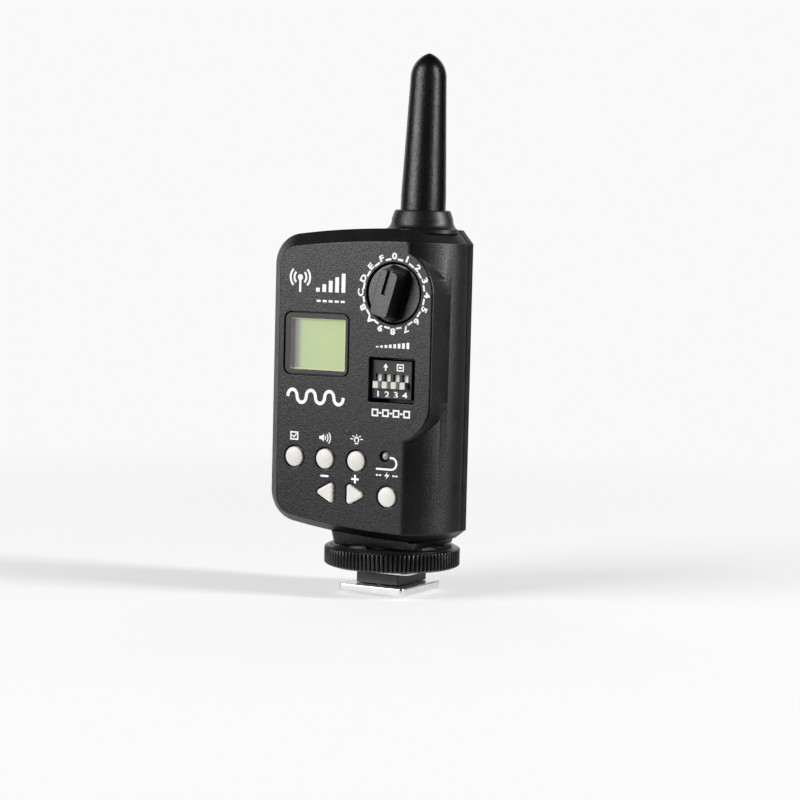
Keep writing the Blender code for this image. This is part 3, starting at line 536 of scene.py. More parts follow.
SWEEP_X = RIGHT - SWEEP_RADIUS
BLEND_X = SWEEP_X + math.sqrt((SWEEP_RADIUS - BLEND) ** 2 - (SWEEP_Y - FRONT - BLEND) ** 2)
BLEND_TURN = math.atan2(BLEND_X - SWEEP_X, SWEEP_Y - FRONT - BLEND)


def sweep_x(y, inward=0.0):
    """Right side of the case at depth y: a small radius off the face, then the big one, then flat."""
    main = SWEEP_RADIUS - inward
    if y >= SWEEP_Y:
        return RIGHT - inward
    if y >= SWEEP_Y - main * math.cos(BLEND_TURN):
        return SWEEP_X + math.sqrt(main ** 2 - (y - SWEEP_Y) ** 2)
    small = max(BLEND - inward, 0.05)
    return BLEND_X + math.sqrt(max(0.0, small ** 2 - (y - FRONT - BLEND) ** 2))


def arched_edge(left, stop, radius, crown_x, crown_radius, arch):
    """A rounded corner and an arched edge from left to stop: x and the distance in from the crown."""
    lean = math.asin((crown_x - left - radius) / crown_radius)
    turns = [math.pi - (math.pi / 2 - lean) * k / 16 for k in range(17)]
    corner = [(left + radius + radius * math.cos(a), radius * math.sin(a)) for a in turns]
    edge_x, reach = corner[-1]
    points = [(x, arch(edge_x) + reach - z) for x, z in corner]
    for k in range(1, 25):
        x = edge_x + (stop - edge_x) * k / 24
        points.append((x, arch(x)))
    return points


def case_section(y, inset, right, crest, low_inset=None):
    """One section of the case in XZ at depth y, anticlockwise from the lower left.

    The arched edges run to crest and slope from there to the right side.
    """
    low_inset = inset if low_inset is None else low_inset
    left = LEFT + inset
    radius = CORNER_RADIUS - inset
    crest = min(crest, right - 0.02)
    middle = (TOP + BOTTOM) / 2
    upper = [(x, TOP - inset - d)
             for x, d in arched_edge(left, crest, radius, CROWN_X, CROWN_RADIUS, crown_drop)]
    lower = [(x, BOTTOM + low_inset + d)
             for x, d in arched_edge(left, crest, radius, BASE_CROWN_X, BASE_CROWN_RADIUS, base_rise)]
    side_top = min(TOP - FACE_RISE - crown_drop(right), upper[-1][1] - 0.02)
    side_low = max(BOTTOM + BASE_RISE + base_rise(right), lower[-1][1] + 0.02)
    for edge, corner, beyond in ((upper, side_top, middle + 1.0), (lower, side_low, middle - 1.0)):
        edge[-1:] = fillet([edge[-2], edge[-1], (right, corner), (right, beyond)], 0.3, 4)[1:-1]
    return [(x, y, z) for x, z in lower + upper[::-1]]


def inset_at(y):
    """How far the section is drawn in at depth y behind the control face."""
    for (y0, i0), (y1, i1) in zip(FACE_PATH, FACE_PATH[1:]):
        if y <= y1:
            return i0 + (i1 - i0) * (y - y0) / (y1 - y0)
    return 0.0


def face_path():
    """(depth, inset) of the chamfer round the face, its two edges rounded."""
    chamfer = [(FRONT, 6.0), (FRONT, FACE_RISE), (FRONT + FACE_DEPTH, 0.0), (FRONT + 8.0, 0.0)]
    return fillet(chamfer, EDGE)[1:-1] + [(SEAM, 0.0)]


FACE_PATH = face_path()


def shell_front(name):
    """The front shell's outside, with a tongue that closes the seam from inside."""
    depths = {round(y, 4) for y, _ in FACE_PATH}
    depths |= {round(FRONT + BLEND * (1 - math.cos(BLEND_TURN * k / 9)), 4) for k in range(1, 10)}
    for k in range(1, 25):
        angle = BLEND_TURN + (math.pi / 2 - BLEND_TURN) * k / 24
        depths.add(round(SWEEP_Y - SWEEP_RADIUS * math.cos(angle), 4))
    depths.discard(round(SEAM, 4))
    sections = []
    for y in sorted(depths):
        inset = inset_at(y)
        share = inset / FACE_RISE
        inward = SIDE_CHAMFER * max(0.0, 1.0 - share)
        sections.append(case_section(y, inset, sweep_x(y), sweep_x(y, inward), share * BASE_RISE))
    for y, inset in [(SEAM - d, inset) for d, inset in SEAM_EDGE] + [(SEAM + GAP, TONGUE_INSET)]:
        sections.append(case_section(y, inset, RIGHT - inset, RIGHT - SIDE_CHAMFER))
    return skin(name, sections)


def shell_cavity(name, y0, y1, taper):
    """Space inside one shell, from y0 to y1, narrowed at the end away from the seam."""
    near, far = taper
    path = [(y0, WALL + near), (y0 + near, WALL), (y1 - far, WALL), (y1, WALL + far)]
    sections = []
    for y, inset in path:
        right = min(sweep_x(max(y - WALL, FRONT)), RIGHT) - WALL * 1.3 - (inset - WALL) * (y > 0)
        sections.append(case_section(y, inset, right, right - SIDE_CHAMFER))
    return skin(name, sections)


def island():
    """Flat land beside the dial, carried out over the rounded corner."""
    right = COLUMN_X + ISLAND_RADIUS

    def points(offset):
        out = []
        for k in range(25):
            angle = math.radians(-90 + 90 * k / 24)
            r = ISLAND_LOW_RADIUS + offset
            x = right - ISLAND_LOW_RADIUS + r * math.cos(angle)
            out.append((x, ISLAND_LOW_Z + r * math.sin(angle)))
        for k in range(33):
            angle = math.radians(90 * k / 32)
            r = ISLAND_RADIUS + offset
            out.append((COLUMN_X + r * math.cos(angle), DIAL_Z + r * math.sin(angle)))
        return out
    return block("island", points, rounding(FRONT, 0.6, -1, 1, 7) + [(SWEEP_Y, 0.0)])


def collar(name, keep):
    """Bell-shaped socket round the antenna, cut back to the depths in keep."""
    flare = [(7.75 + 1.6 * (1 - math.cos(math.radians(a))), 95.0 - 2.6 * math.sin(math.radians(a)))
             for a in range(0, 91, 9)]
    profile = [(0.0, COLLAR_TOP)] + fillet([(5.0, COLLAR_TOP), (7.0, COLLAR_TOP), (7.75, 95.0)], 0.7)[1:-1]
    profile += flare + [(9.35, 91.5), (0.0, 91.5)]
    body = turned(name, profile, at=ANTENNA_AT, steps=72)
    slab = block(name + "_keep", rectangle((10.0, 95.0), (40.0, 30.0), 1.0), [(y, 0.0) for y in keep])
    return boolean(body, "INTERSECT", [slab])


def socket_cutters():
    well = block("well", circle(ANTENNA_AT, 5.95, 72), hole_path(COLLAR_TOP, SOCKET_FLOOR, 0.2), upright)
    feed = block("feed", circle(ANTENNA_AT, 1.8, 24), [(80.0, 0.0), (100.0, 0.0)], upright)
    return well, feed


# ---------------------------------------------------------------- shells

def arrow(name, grow=0.0, radius=1.2):
    x, way = ARROWS[name]
    tip = x + way * (2.75 + 1.6 * grow)
    flat = x - way * (2.75 + grow)
    half = 3.05 + 1.5 * grow
    corners = [(tip, ARROW_Z), (flat, ARROW_Z + half), (flat, ARROW_Z - half)]
    return polygon(corners if way > 0 else [corners[0], corners[2], corners[1]], radius, 8)


def cap_seat(lip):
    """Path of a button hole: a shallow ring at the face, then a bore close round the cap."""
    ledge = FRONT + 0.75
    bore = [(ledge + 0.05, -0.28), (ledge + 0.4, -0.28), (ledge + 0.5, 0.0), (FACE_INSIDE, 0.0)]
    return hole_path(FRONT, ledge, lip) + bore


def make_front_shell():
    shell = shell_front("front_shell")
    join(shell, island(), collar("front_collar", (-30.0, SEAM)))
    cavity = shell_cavity("front_cavity", FRONT + WALL, SEAM + 2.0, (FACE_RISE, 0.0))
    lip = 0.2
    deep = hole_path(FRONT, FACE_INSIDE + 0.6, lip)
    tools = [
        cavity,
        block("window", rectangle(WINDOW_CENTRE, WINDOW_SIZE, 1.9, 10), hole_path(FRONT, FRONT + 1.2, lip)),
        block("opening", rectangle(LCD_CENTRE, (17.4, 14.6), 0.6), [(FRONT - 1, 0.0), (FACE_INSIDE, 0.0)]),
        block("dip_window", rectangle((COLUMN_X, 54.6), (12.9, 11.2), 0.35), deep),
        block("dial_hole", circle((COLUMN_X, DIAL_Z), DIAL_HOLE, 96), deep),
        block("led_hole", circle(LED_AT, 1.4, 32), hole_path(FRONT, FACE_INSIDE, 0.12)),
        block("test_hole", circle(TEST_AT, CAP_HOLE, 56), cap_seat(lip)),
        block("jack_hole", circle(JACK_AT, 3.0, 40), hole_path(LEFT, -17.0, lip), sideways),
        block("switch_slot", rectangle(SWITCH_AT, (3.6, 7.2), 0.5), hole_path(LEFT, -25.0, lip), sideways),
    ]
    for name, x in ROW_X.items():
        tools.append(block(name + "_hole", circle((x, ROW_Z), CAP_HOLE, 56), cap_seat(lip)))
    for name in ARROWS:
        tools.append(block(name + "_hole", arrow(name, 0.42), cap_seat(lip)))
    cut(shell, *tools, *socket_cutters())
    return finish(shell, "shell", "housing", "shell", "front_case")


def make_rear_shell():
    y0 = SEAM + GAP
    chamfer = [(REAR - 4.0, 0.0), (REAR - REAR_CHAMFER, 0.0), (REAR, REAR_CHAMFER), (REAR, 6.0)]
    path = [(y0 + d, inset) for d, inset in SEAM_EDGE[::-1]] + fillet(chamfer, 0.5)[1:-1]
    shell = skin("rear_shell", [case_section(y, inset, RIGHT - inset, RIGHT - inset - SIDE_CHAMFER)
                                for y, inset in path])
    middle = (PACK_BOTTOM + PACK_TOP) / 2
    size = (2 * PACK_HALF, PACK_TOP - PACK_BOTTOM)
    bulge = block("bulge", rectangle((PACK_X, middle), size, 3.0, 8),
                  [(REAR - 2.5, 0.0)] + rounding(PACK_REAR, 1.6, -1, -1, 8)[::-1])
    join(shell, bulge, collar("rear_collar", (y0, 30.0)))
    cavity = shell_cavity("rear_cavity", SEAM - 2.0, REAR - WALL, (0.0, REAR_CHAMFER))
    hollow = block("hollow", rectangle((PACK_X, middle), (size[0] - 2 * WALL, size[1] - 2 * WALL), 2.0),
                   [(0.0, 0.0), (DOOR_Y - WALL, 0.0)])
    door_z = (DOOR_BOTTOM + RECESS_TOP) / 2
    recess = block("recess", rectangle((PACK_X, door_z), (2 * DOOR_HALF, RECESS_TOP - DOOR_BOTTOM), 0.5),
                   [(DOOR_Y, 0.0), (14.0, 0.0)])
    tools = [cavity, hollow, recess]
    for number, (x, z) in enumerate(CASE_SCREWS):
        mouth = PACK_REAR if z < PACK_TOP and abs(x - PACK_X) < PACK_HALF else REAR
        tools.append(block(f"pocket_{number}", circle((x, z), 2.3, 40), hole_path(mouth, SCREW_SEAT, 0.25)))
    cut(shell, *tools, *socket_cutters())
    return finish(shell, "shell", "housing", "shell", "rear_case")


def make_door():
    """Sliding battery cover, with thumb ribs in a dish and a sunk arrow."""
    half = DOOR_HALF - GAP
    low = DOOR_BOTTOM + GAP
    middle = (low + PACK_TOP) / 2
    door = block("battery_cover", rectangle((PACK_X, middle), (2 * half, PACK_TOP - low), 0.8),
                 solid_path(DOOR_Y + 0.15, PACK_REAR, 0.15, 0.35))
    point = polygon([(PACK_X - 2.6, 41.5), (PACK_X + 2.6, 41.5), (PACK_X, 46.0)], 0.4)
    sunk = block("cover_arrow", point, [(PACK_REAR - 0.25, 0.0), (PACK_REAR + 0.5, 0.2)])
    bowl = [(-0.35, -0.5), (-0.2, -0.1), (0.0, 0.1), (0.6, 0.3)]
    dish = block("cover_dish", rectangle((PACK_X, 33.0), (15.0, 10.4), 2.4, 10),
                 [(PACK_REAR + depth, offset) for depth, offset in bowl])
    cut(door, sunk, dish)
    crest = [(PACK_REAR - 0.6, 0.0)] + rounding(PACK_REAR + 0.3, 0.3, -1, -1)[::-1]
    join(door, *[block(f"rib_{k}", rectangle((PACK_X, 29.4 + 1.8 * k), (11.6, 0.8), 0.38, 6), crest)
                 for k in range(5)])
    return finish(door, "shell", "battery_door", "shell", "battery_door")


# ---------------------------------------------------------------- display

def make_display():
    """Flush window with a blacked-out border whose grey is a painted reflection, a clear pane in its
    opening and the display behind.
    """
    size = (WINDOW_SIZE[0] - 0.5, WINDOW_SIZE[1] - 0.5)
    opening = (LCD_CENTRE[0] + 0.36, LCD_CENTRE[1])
    border = block("display_border", rectangle(WINDOW_CENTRE, size, 1.7, 10),
                   solid_path(FRONT + 0.08, FRONT + 0.9, 0.2, 0.05))
    cut(border, block("border_opening", rectangle(opening, LCD_SIZE, 0.12),
                      hole_path(FRONT + 0.08, FRONT + 2, 0.04)))
    finish(border, "border", "housing", "dark_trim")
    pane = block("display_pane", rectangle(opening, (LCD_SIZE[0] - 0.06, LCD_SIZE[1] - 0.06), 0.1),
                 solid_path(FRONT + 0.14, FRONT + 0.86, 0.03))
    finish(pane, "pane", "housing", "window", "display_window")
    glass = block("display_cell", rectangle(LCD_CENTRE, (16.7, 13.9), 0.15),
                  solid_path(FRONT + 1.5, FRONT + 3.6, 0.08))
    finish(glass, "lcd", "housing", "lcd", "lcd_panel")
    back = block("display_tray", rectangle(LCD_CENTRE, (16.6, 13.8), 0.4),
                 solid_path(FRONT + 3.7, FRONT + 5.6, 0.1))
    finish(back, "insulator", "housing", "lcd")


# ---------------------------------------------------------------- buttons and lamp

def cap_profile(radius):
    """Domed cap over a flange, from the axis at the front to the axis at the back."""
    reach = 3.5
    dome = [(radius - 0.35) * math.sin(math.radians(a)) for a in range(0, 91, 10)]
    profile = [(r, reach - 0.32 * (r / radius) ** 2) for r in dome]
    edge_top = profile[-1][1]
    for a in range(15, 91, 15):
        t = math.radians(a)
        profile.append((radius - 0.35 + 0.35 * math.sin(t), edge_top - 0.35 * (1 - math.cos(t))))
    return profile + [(radius, 1.0), (3.4, 0.9), (3.4, 0.0), (0.0, 0.0)]


def make_round_cap(name, x, z):
    cap = turned("cap_" + name, cap_profile(CAP_RADIUS), facing, (x, z), CAP_BACK, -1.0, 64)
    finish(cap, "ivory", "button_" + name, "ivory_cap", "button_" + name)


def make_arrow_cap(name):
    """Rounded-triangle cap: its top is crowned by drawing the last rings in."""
    outline = arrow(name, 0.0, 0.8)
    front = FRONT - 0.5
    path = [(front + 0.02, -0.72), (front + 0.06, -0.5), (front + 0.14, -0.26), (front + 0.25, -0.1),
            (front + 0.40, -0.02), (front + 0.6, 0.0), (-12.2, 0.0)]
    cap = block("cap_" + name, outline, path)
    flange = block("flange_" + name, arrow(name, 0.9, 1.2), solid_path(-12.2, CAP_BACK, 0.1))
    join(cap, flange)
    finish(cap, "ivory", "button_" + name, "ivory_cap", "button_" + name)


def make_lamp():
    """Lens of the status lamp: smoked, in a grey lightened to paint its highlight."""
    turns = [math.radians(a) for a in range(0, 91, 9)]
    dome = [(1.12 * math.sin(a), 1.12 * (1 - math.cos(a))) for a in turns]
    profile = dome + [(1.12, 2.4), (1.65, 2.45), (1.65, 3.2), (1.12, 3.25), (1.12, 6.2), (0.0, 6.2)]
    lens = turned("lamp_lens", profile, facing, LED_AT, FRONT + 0.15, 1.0, 40)
    finish(lens, "lens", "housing", "led_lens", "status_led")


# ---------------------------------------------------------------- dial

def turned_bar(points):
    """Points about the dial's axis, turned to where the bar points, in the case frame."""
    c, s = math.cos(BAR_TURN), math.sin(BAR_TURN)
    return [(COLUMN_X + x * c - z * s, DIAL_Z + x * s + z * c) for x, z in points]


def bar_outline(length, width, radius):
    """The grip bar's outline, turned to where it points."""
    flat = rectangle((0.0, 0.0), (width, length), radius, 6)
    return lambda offset: turned_bar(flat(offset))


def make_dial():
    """Disc flush with the face and a tall grip bar with a pointer groove."""
    r = DIAL_RADIUS
    edge = fillet([(r - 3.0, 0.0), (r, 0.0), (r, 2.0)], 0.25)[1:-1]
    profile = [(0.0, 0.0)] + edge + [(r, 4.0), (0.0, 4.0)]
    dial = turned("dial_knob", profile, facing, (COLUMN_X, DIAL_Z), DIAL_FLOOR, 1.0, 96)
    height = DIAL_FLOOR - DIAL_TOP
    rings = []
    flare = [(DIAL_FLOOR - 0.5, 0.0), (DIAL_FLOOR - 0.15, 0.08)]
    flare += [(DIAL_FLOOR + 0.01, 0.3), (DIAL_FLOOR + 0.6, 0.3)]
    for depth, offset in rounding(DIAL_TOP, 0.3, -1, 1, 5) + flare:
        share = min(1.0, (depth - DIAL_TOP) / height)
        width, length = [top + (foot - top) * share for top, foot in zip(BAR_TOP, BAR_FOOT)]
        rings.append([facing(u, v, depth) for u, v in bar_outline(length, width, 1.2)(offset)])
    bar = skin("bar", rings)
    join(dial, bar)
    groove = rectangle((-0.07, 3.35), (1.25, 7.3), 0.12, 3)
    slot = block("slot", lambda offset: turned_bar(groove(offset)),
                 hole_path(DIAL_TOP, DIAL_TOP + 0.8, 0.10))
    bore = block("bore", circle((COLUMN_X, DIAL_Z), 1.8, 32), [(DIAL_FLOOR - 1.4, 0.0), (-9.0, 0.0)])
    cut(dial, slot, bore)
    finish(dial, "dial", "power_dial", "dial", "power_dial")


# ---------------------------------------------------------------- DIP switch

def dip_slots():
    """X of the four levers, left to right."""
    return [DIP_CENTRE[0] + DIP_PITCH * (k - 1.5) for k in range(4)]


def make_dip_switch():
    """Sunk switch body with four levers, each standing in a slot over a pale carrier."""
    body = block("dip_body", rectangle(DIP_CENTRE, DIP_SIZE, 0.25), solid_path(DIP_FACE, -7.9, 0.12))
    low = DIP_CENTRE[1] - 2.45
    tray = block("dip_tray", rectangle(DIP_CENTRE, (DIP_SIZE[0] - 0.9, DIP_SIZE[1] - 0.9), 0.2),
                 hole_path(DIP_FACE, DIP_FACE + 0.1, 0.05))
    cut(body, tray)
    for number, x in enumerate(dip_slots(), 1):
        centre = (x, low + 1.95)
        cut(body, block("dip_slot", rectangle(centre, DIP_SLOT, 0.06, 2),
                        hole_path(DIP_FACE, DIP_FACE + 1.6, 0.05)))
        lever = block(f"dip_lever_{number}", rectangle((x, low + 1.15), DIP_LEVER, 0.14, 4),
                      solid_path(DIP_FACE - 1.5, DIP_FACE + 0.9, 0.14))
        node = f"dip_slider_{number}"
        finish(lever, "lever", node, "white_plastic", node)
    finish(body, "dip", "housing", "dip_body", "dip_switch_body")
    strips = [block("strip", rectangle((x, low + 1.95), (1.68, 3.86), 0.05, 2),
                    solid_path(DIP_FACE + 0.92, DIP_FACE + 1.5, 0.04)) for x in dip_slots()]
    finish(merge("dip_carriers", strips), "lever", "housing", "white_plastic")


# ---------------------------------------------------------------- sides

def make_side_parts():
    """Sync socket and power slider in the left wall."""
    profile = fillet([(1.8, 1.0), (1.8, 0.0), (2.6, 0.0), (2.6, 3.0)], 0.15)[1:-1]
    profile += [(2.6, 5.0), (1.8, 5.0)]
    ring = ring_turned("jack_ring", profile, sideways, JACK_AT, LEFT + 0.25, 1.0, 48)
    finish(ring, "steel", "housing", "dark_trim")
    body = block("jack_body", rectangle(JACK_AT, (5.8, 6.0), 0.5), solid_path(-27.6, -19.8, 0.2), sideways)
    cut(body, block("jack_bore", circle(JACK_AT, 1.8, 32), [(-29.0, 0.0), (-21.0, 0.0)], sideways))
    finish(body, "trim", "housing", "dark_trim", "sync_jack")
    low = SWITCH_AT[1] - 1.6
    knob = block("slider_knob", rectangle((SWITCH_AT[0], low), (2.8, 3.2), 0.3),
                 solid_path(-31.0, -27.7, 0.2), sideways)
    for k in range(3):
        z = low - 0.9 + 0.9 * k
        cut(knob, block("slider_groove", rectangle((SWITCH_AT[0], z), (6.0, 0.34), 0.1, 3),
                        [(-32.0, 0.12), (-31.0, 0.1), (-30.7, 0.0)], sideways))
    finish(knob, "trim", "power_slider", "dark_trim", "power_slider")


# ---------------------------------------------------------------- antenna

def sleeve_radius(z):
    """Outer radius of the rubber sleeve: a straight taper that ends in an ogive."""
    shoulder = ANTENNA_TIP - OGIVE
    along = (z - COLLAR_TOP) / (shoulder - COLLAR_TOP)
    taper = SLEEVE_RADIUS + (SLEEVE_TIP_RADIUS - SLEEVE_RADIUS) * min(along, 1.0)
    if z <= shoulder:
        return taper + SLEEVE_SWELL * min(1.0, (z - COLLAR_TOP) / 0.5)
    return (taper + SLEEVE_SWELL) * (1.0 - ((z - shoulder) / OGIVE) ** 2.4) ** 0.72


def make_antenna():
    """Tapered rubber sleeve with an ogive tip."""
    levels = [ANTENNA_TIP - OGIVE * (1 - math.cos(math.pi / 2 * k / 26)) for k in range(27)]
    profile = [(sleeve_radius(z) if k else 0.0, z) for k, z in enumerate(levels)]
    for z in range(128, 98, -3):
        profile.append((sleeve_radius(z), z))
    low = SOCKET_FLOOR + GAP
    profile += [(SLEEVE_RADIUS, COLLAR_TOP + 0.2), (SLEEVE_RADIUS - 0.02, COLLAR_TOP),
                (SLEEVE_RADIUS - 0.1, low), (0.0, low)]
    sleeve = turned("antenna_cover", profile, steps=96)
    foot = Vector((0.0, 0.0, low * MM))
    spot_at = Vector((ANTENNA_AT[0] * MM, ANTENNA_AT[1] * MM, foot.z))
    turn = Matrix.Rotation(ANTENNA_LEAN, 4, "Y")
    sleeve.data.transform(Matrix.Translation(spot_at) @ turn @ Matrix.Translation(-foot))
    finish(sleeve, "rubber", "housing", "rubber_sleeve", "antenna_sleeve")


# ---------------------------------------------------------------- foot

def make_pedestal():
    """Block under the case, hollowed to the case's underside."""
    outline = polygon([(-12.5, -12.0), (12.5, -12.0), (12.5, 13.0), (-12.5, 13.0)], 3.0, 10)
    path = [(11.8, -1.2), (11.83, -1.0), (11.92, -0.86), (12.1, -0.74), (15.2, 0.0)]
    foot = block("pedestal", outline, path, upright)
    front = []
    for y in (FRONT + 0.01, FRONT + 1.6, FRONT + 3.2, -8.0, -4.0, SWEEP_Y, SEAM + 0.1):
        share = inset_at(y) / FACE_RISE
        right = sweep_x(y) + GAP
        low = BASE_RISE * share - GAP
        front.append(case_section(y, FACE_RISE * share - GAP, right, right - SIDE_CHAMFER, low))
    rear = []
    for y, inset in ((SEAM, 0.0), (REAR - REAR_CHAMFER + 0.2, 0.0), (REAR + 0.2, REAR_CHAMFER),
                     (REAR + 0.4, 4.0)):
        right = RIGHT - inset + GAP
        rear.append(case_section(y, inset - GAP, right, right - SIDE_CHAMFER))
    cut(foot, skin("saddle", front))
    cut(foot, skin("saddle_rear", rear))
    for y in (-FOOT_SCREW_Y, FOOT_SCREW_Y):
        cut(foot, block("pedestal_bore", circle((0.0, y), 1.4, 24), [(10.0, 0.0), (14.0, 0.0)], upright))
    finish(foot, "shell", "housing", "shell", "foot_pedestal")


def make_foot():
    """Shoe plate, neck and threaded stem, bored for the screws and the sprung contact."""
    through = [(-1.0, 0.0), (13.0, 0.0)]
    plate = block("shoe_plate", rectangle((0.0, -0.9), PLATE_SIZE, 1.0, 8),
                  solid_path(0.0, 2.0, 0.3), upright)
    neck = block("shoe_neck", rectangle((0.0, 0.0), NECK_SIZE, 0.6), solid_path(2.15, 4.7, 0.12), upright)
    thread = [(STEM_RADIUS - 0.25 * (k % 2), 11.2 - 0.3 * k) for k in range(20)]
    stem = turned("shoe_stem", [(0.0, 11.7), (STEM_RADIUS - 0.2, 11.7), (STEM_RADIUS, 11.5)] + thread
                  + [(STEM_RADIUS, 5.0), (0.0, 5.0)], steps=64)
    cut(plate, block("plate_bore", circle((0, 0), 2.7, 40), [(-1.0, 0.0), (3.0, 0.0)], upright))
    for piece in (neck, stem):
        cut(piece, block("core", circle((0, 0), 2.0, 32), through, upright))
    for y in (-FOOT_SCREW_Y, FOOT_SCREW_Y):
        for piece in (plate, neck, stem):
            cut(piece, block("bore", circle((0, y), 1.4, 24), through, upright))
        cut(plate, block("sink", circle((0, y), 2.45, 32), hole_path(0.0, 1.2, 0.12), upright))
    finish(plate, "plate", "housing", "plate_metal", "foot_plate")
    finish(neck, "trim", "housing", "dark_trim", "foot_neck")
    finish(stem, "screw", "housing", "steel", "foot_stem")
    outline = [(2.4, 2.0), (2.4, 0.2), (2.3, 0.1), (1.5, 0.1), (1.5, 2.0)]
    insulator = ring_turned("contact_ring", outline, steps=40)
    finish(insulator, "insulator", "housing", "white_plastic", "contact_insulator")
    point = [(0.0, -0.7), (0.5, -0.66), (0.9, -0.5), (1.12, -0.2), (1.2, 0.1), (1.2, 6.0), (0.0, 6.0)]
    finish(turned("contact_tip", point, steps=40), "brass", "contact_pin", "brass", "contact_pin")


def knurl(offset):
    """Outline of the knurled rim: broad lands and narrow round-bottomed grooves."""
    points = []
    share = [(0.0, 0.08), (0.20, 0.0), (0.38, 0.0), (0.54, 0.12), (0.68, 0.48), (0.79, 0.60), (0.90, 0.48)]
    for k in range(RIDGES):
        for along, sink in share:
            angle = 2 * math.pi * (k + along) / RIDGES
            reach = min(WHEEL_RADIUS - sink, WHEEL_RADIUS + offset)
            points.append((reach * math.cos(angle), reach * math.sin(angle)))
    return points


def make_wheel():
    """Knurled lock wheel and the washer that it presses down."""
    path = [(6.45, -0.7), (6.52, -0.45), (6.7, -0.2), (6.95, 0.0), (10.75, 0.0), (10.93, -0.12),
            (11.07, -0.32), (11.15, -0.75)]
    rim = block("rim", knurl, path, upright)
    cut(rim, block("rim_bore", circle((0, 0), 14.5, 64), [(5.0, 0.0), (12.0, 0.0)], upright))
    outline = [(7.5, 7.0), (7.5, 6.2), (16.2, 6.2), (16.75, 6.9), (16.75, 10.9), (16.3, 11.5), (13.6, 11.5),
               (13.6, 10.1), (7.5, 10.1), (7.5, 8.0)]
    wheel = ring_turned("knurled_wheel", fillet(outline, 0.25)[1:-1], steps=144)
    join(wheel, rim)
    finish(wheel, "wheel", "lock_wheel", "wheel", "lock_wheel")
    opening = (15.0, 15.8)
    washer = block("shoe_washer", rectangle((0, 0), (opening[0] + 5.2, opening[1] + 5.2), 2.0, 8),
                   solid_path(5.3, 5.9, 0.15), upright)
    cut(washer, block("washer_opening", rectangle((0, 0), opening, 0.3), [(4.0, 0.0), (7.0, 0.0)], upright))
    finish(washer, "plate", "clamp_washer", "steel", "clamp_washer")


def make_screws():
    """Pan-head case screws and countersunk foot screws, both with a cross recess."""
    for number, (x, z) in enumerate(CASE_SCREWS, 1):
        seat = SCREW_SEAT + 0.35
        head = fillet([(0.5, 1.55), (1.6, 1.5), (1.9, 0.9), (1.9, -0.2)], 0.3)[1:-1]
        profile = [(0.0, 1.55)] + head + [(1.9, 0.0), (0.9, 0.0), (0.9, -8.4), (0.0, -8.9)]
        screw = turned(f"screw_{number}", profile, facing, (x, z), seat, 1.0, 40)
        recess = [(seat + 0.7, -0.08), (seat + 3.0, 0.05)]
        for size in ((2.1, 0.45), (0.45, 2.1)):
            cut(screw, block("cross", rectangle((x, z), size, 0.1, 2), recess))
        finish(screw, "screw", "housing", "steel", f"case_screw_{number}")
    for number, y in ((1, -FOOT_SCREW_Y), (2, FOOT_SCREW_Y)):
        profile = [(0.0, 0.12), (1.9, 0.12), (2.1, 0.22), (2.1, 0.4), (1.1, 1.2), (1.1, 13.3), (0.0, 13.6)]
        screw = turned(f"shoe_screw_{number}", profile, at=(0.0, y), steps=40)
        recess = [(-0.5, 0.05), (0.7, -0.05)]
        for size in ((2.0, 0.42), (0.42, 2.0)):
            cut(screw, block("cross", rectangle((0.0, y), size, 0.08, 2), recess, upright))
        finish(screw, "steel", "housing", "steel", f"foot_screw_{number}")


# ---------------------------------------------------------------- printed legends

INK_FRONT = FRONT - 0.03
INK_BACK = FRONT + 0.02


def ribbon(points, width, closed):
    """Outline of a stroke of even width along a path, with square ends."""
    count = len(points)
    half = width / 2
    left, right = [], []
    for i, point in enumerate(points):
        here = Vector(point)
        before = Vector(points[i - 1]) if i or closed else None
        after = Vector(points[(i + 1) % count]) if i < count - 1 or closed else None
        runs = [(here - before).normalized()] if before is not None else []
        runs += [(after - here).normalized()] if after is not None else []
        along = sum(runs, Vector((0.0, 0.0))).normalized()
        side = Vector((-along.y, along.x))
        reach = half / max(0.4, abs(side.dot(Vector((-runs[0].y, runs[0].x)))))
        if not closed and i in (0, count - 1):
            here = here + along * (half * 0.5 if i else -half * 0.5)
        left.append(tuple(here + side * reach))
        right.append(tuple(here - side * reach))
    return left, right


def stroke(points, width, face=INK_FRONT, back=INK_BACK, closed=False):
    """A printed line on the control face."""
    left, right = ribbon(points, width, closed)
    if closed:
        rings = []
        for side, depth in ((left, face), (right, face), (right, back), (left, back)):
            rings.append([facing(u, v, depth) for u, v in side])
        return skin("stroke", rings, capped=False)
    ring = right + left[::-1]
    return skin("stroke", [[facing(u, v, depth) for u, v in ring] for depth in (face, back)])


def spot(outline, face=INK_FRONT, back=INK_BACK):
    """A printed patch on the control face."""
    return skin("spot", [[facing(u, v, depth) for u, v in outline] for depth in (face, back)])


def corners(x0, z0, x1, z1):
    """Corners of an upright rectangle, anticlockwise from the lower left."""
    return [(x0, z0), (x1, z0), (x1, z1), (x0, z1)]


def arc(centre, radius, start, end, steps=14):
    """Points from start to end degrees, anticlockwise from +X."""
    angles = [math.radians(start + (end - start) * k / steps) for k in range(steps + 1)]
    return [(centre[0] + radius * math.cos(a), centre[1] + radius * math.sin(a)) for a in angles]


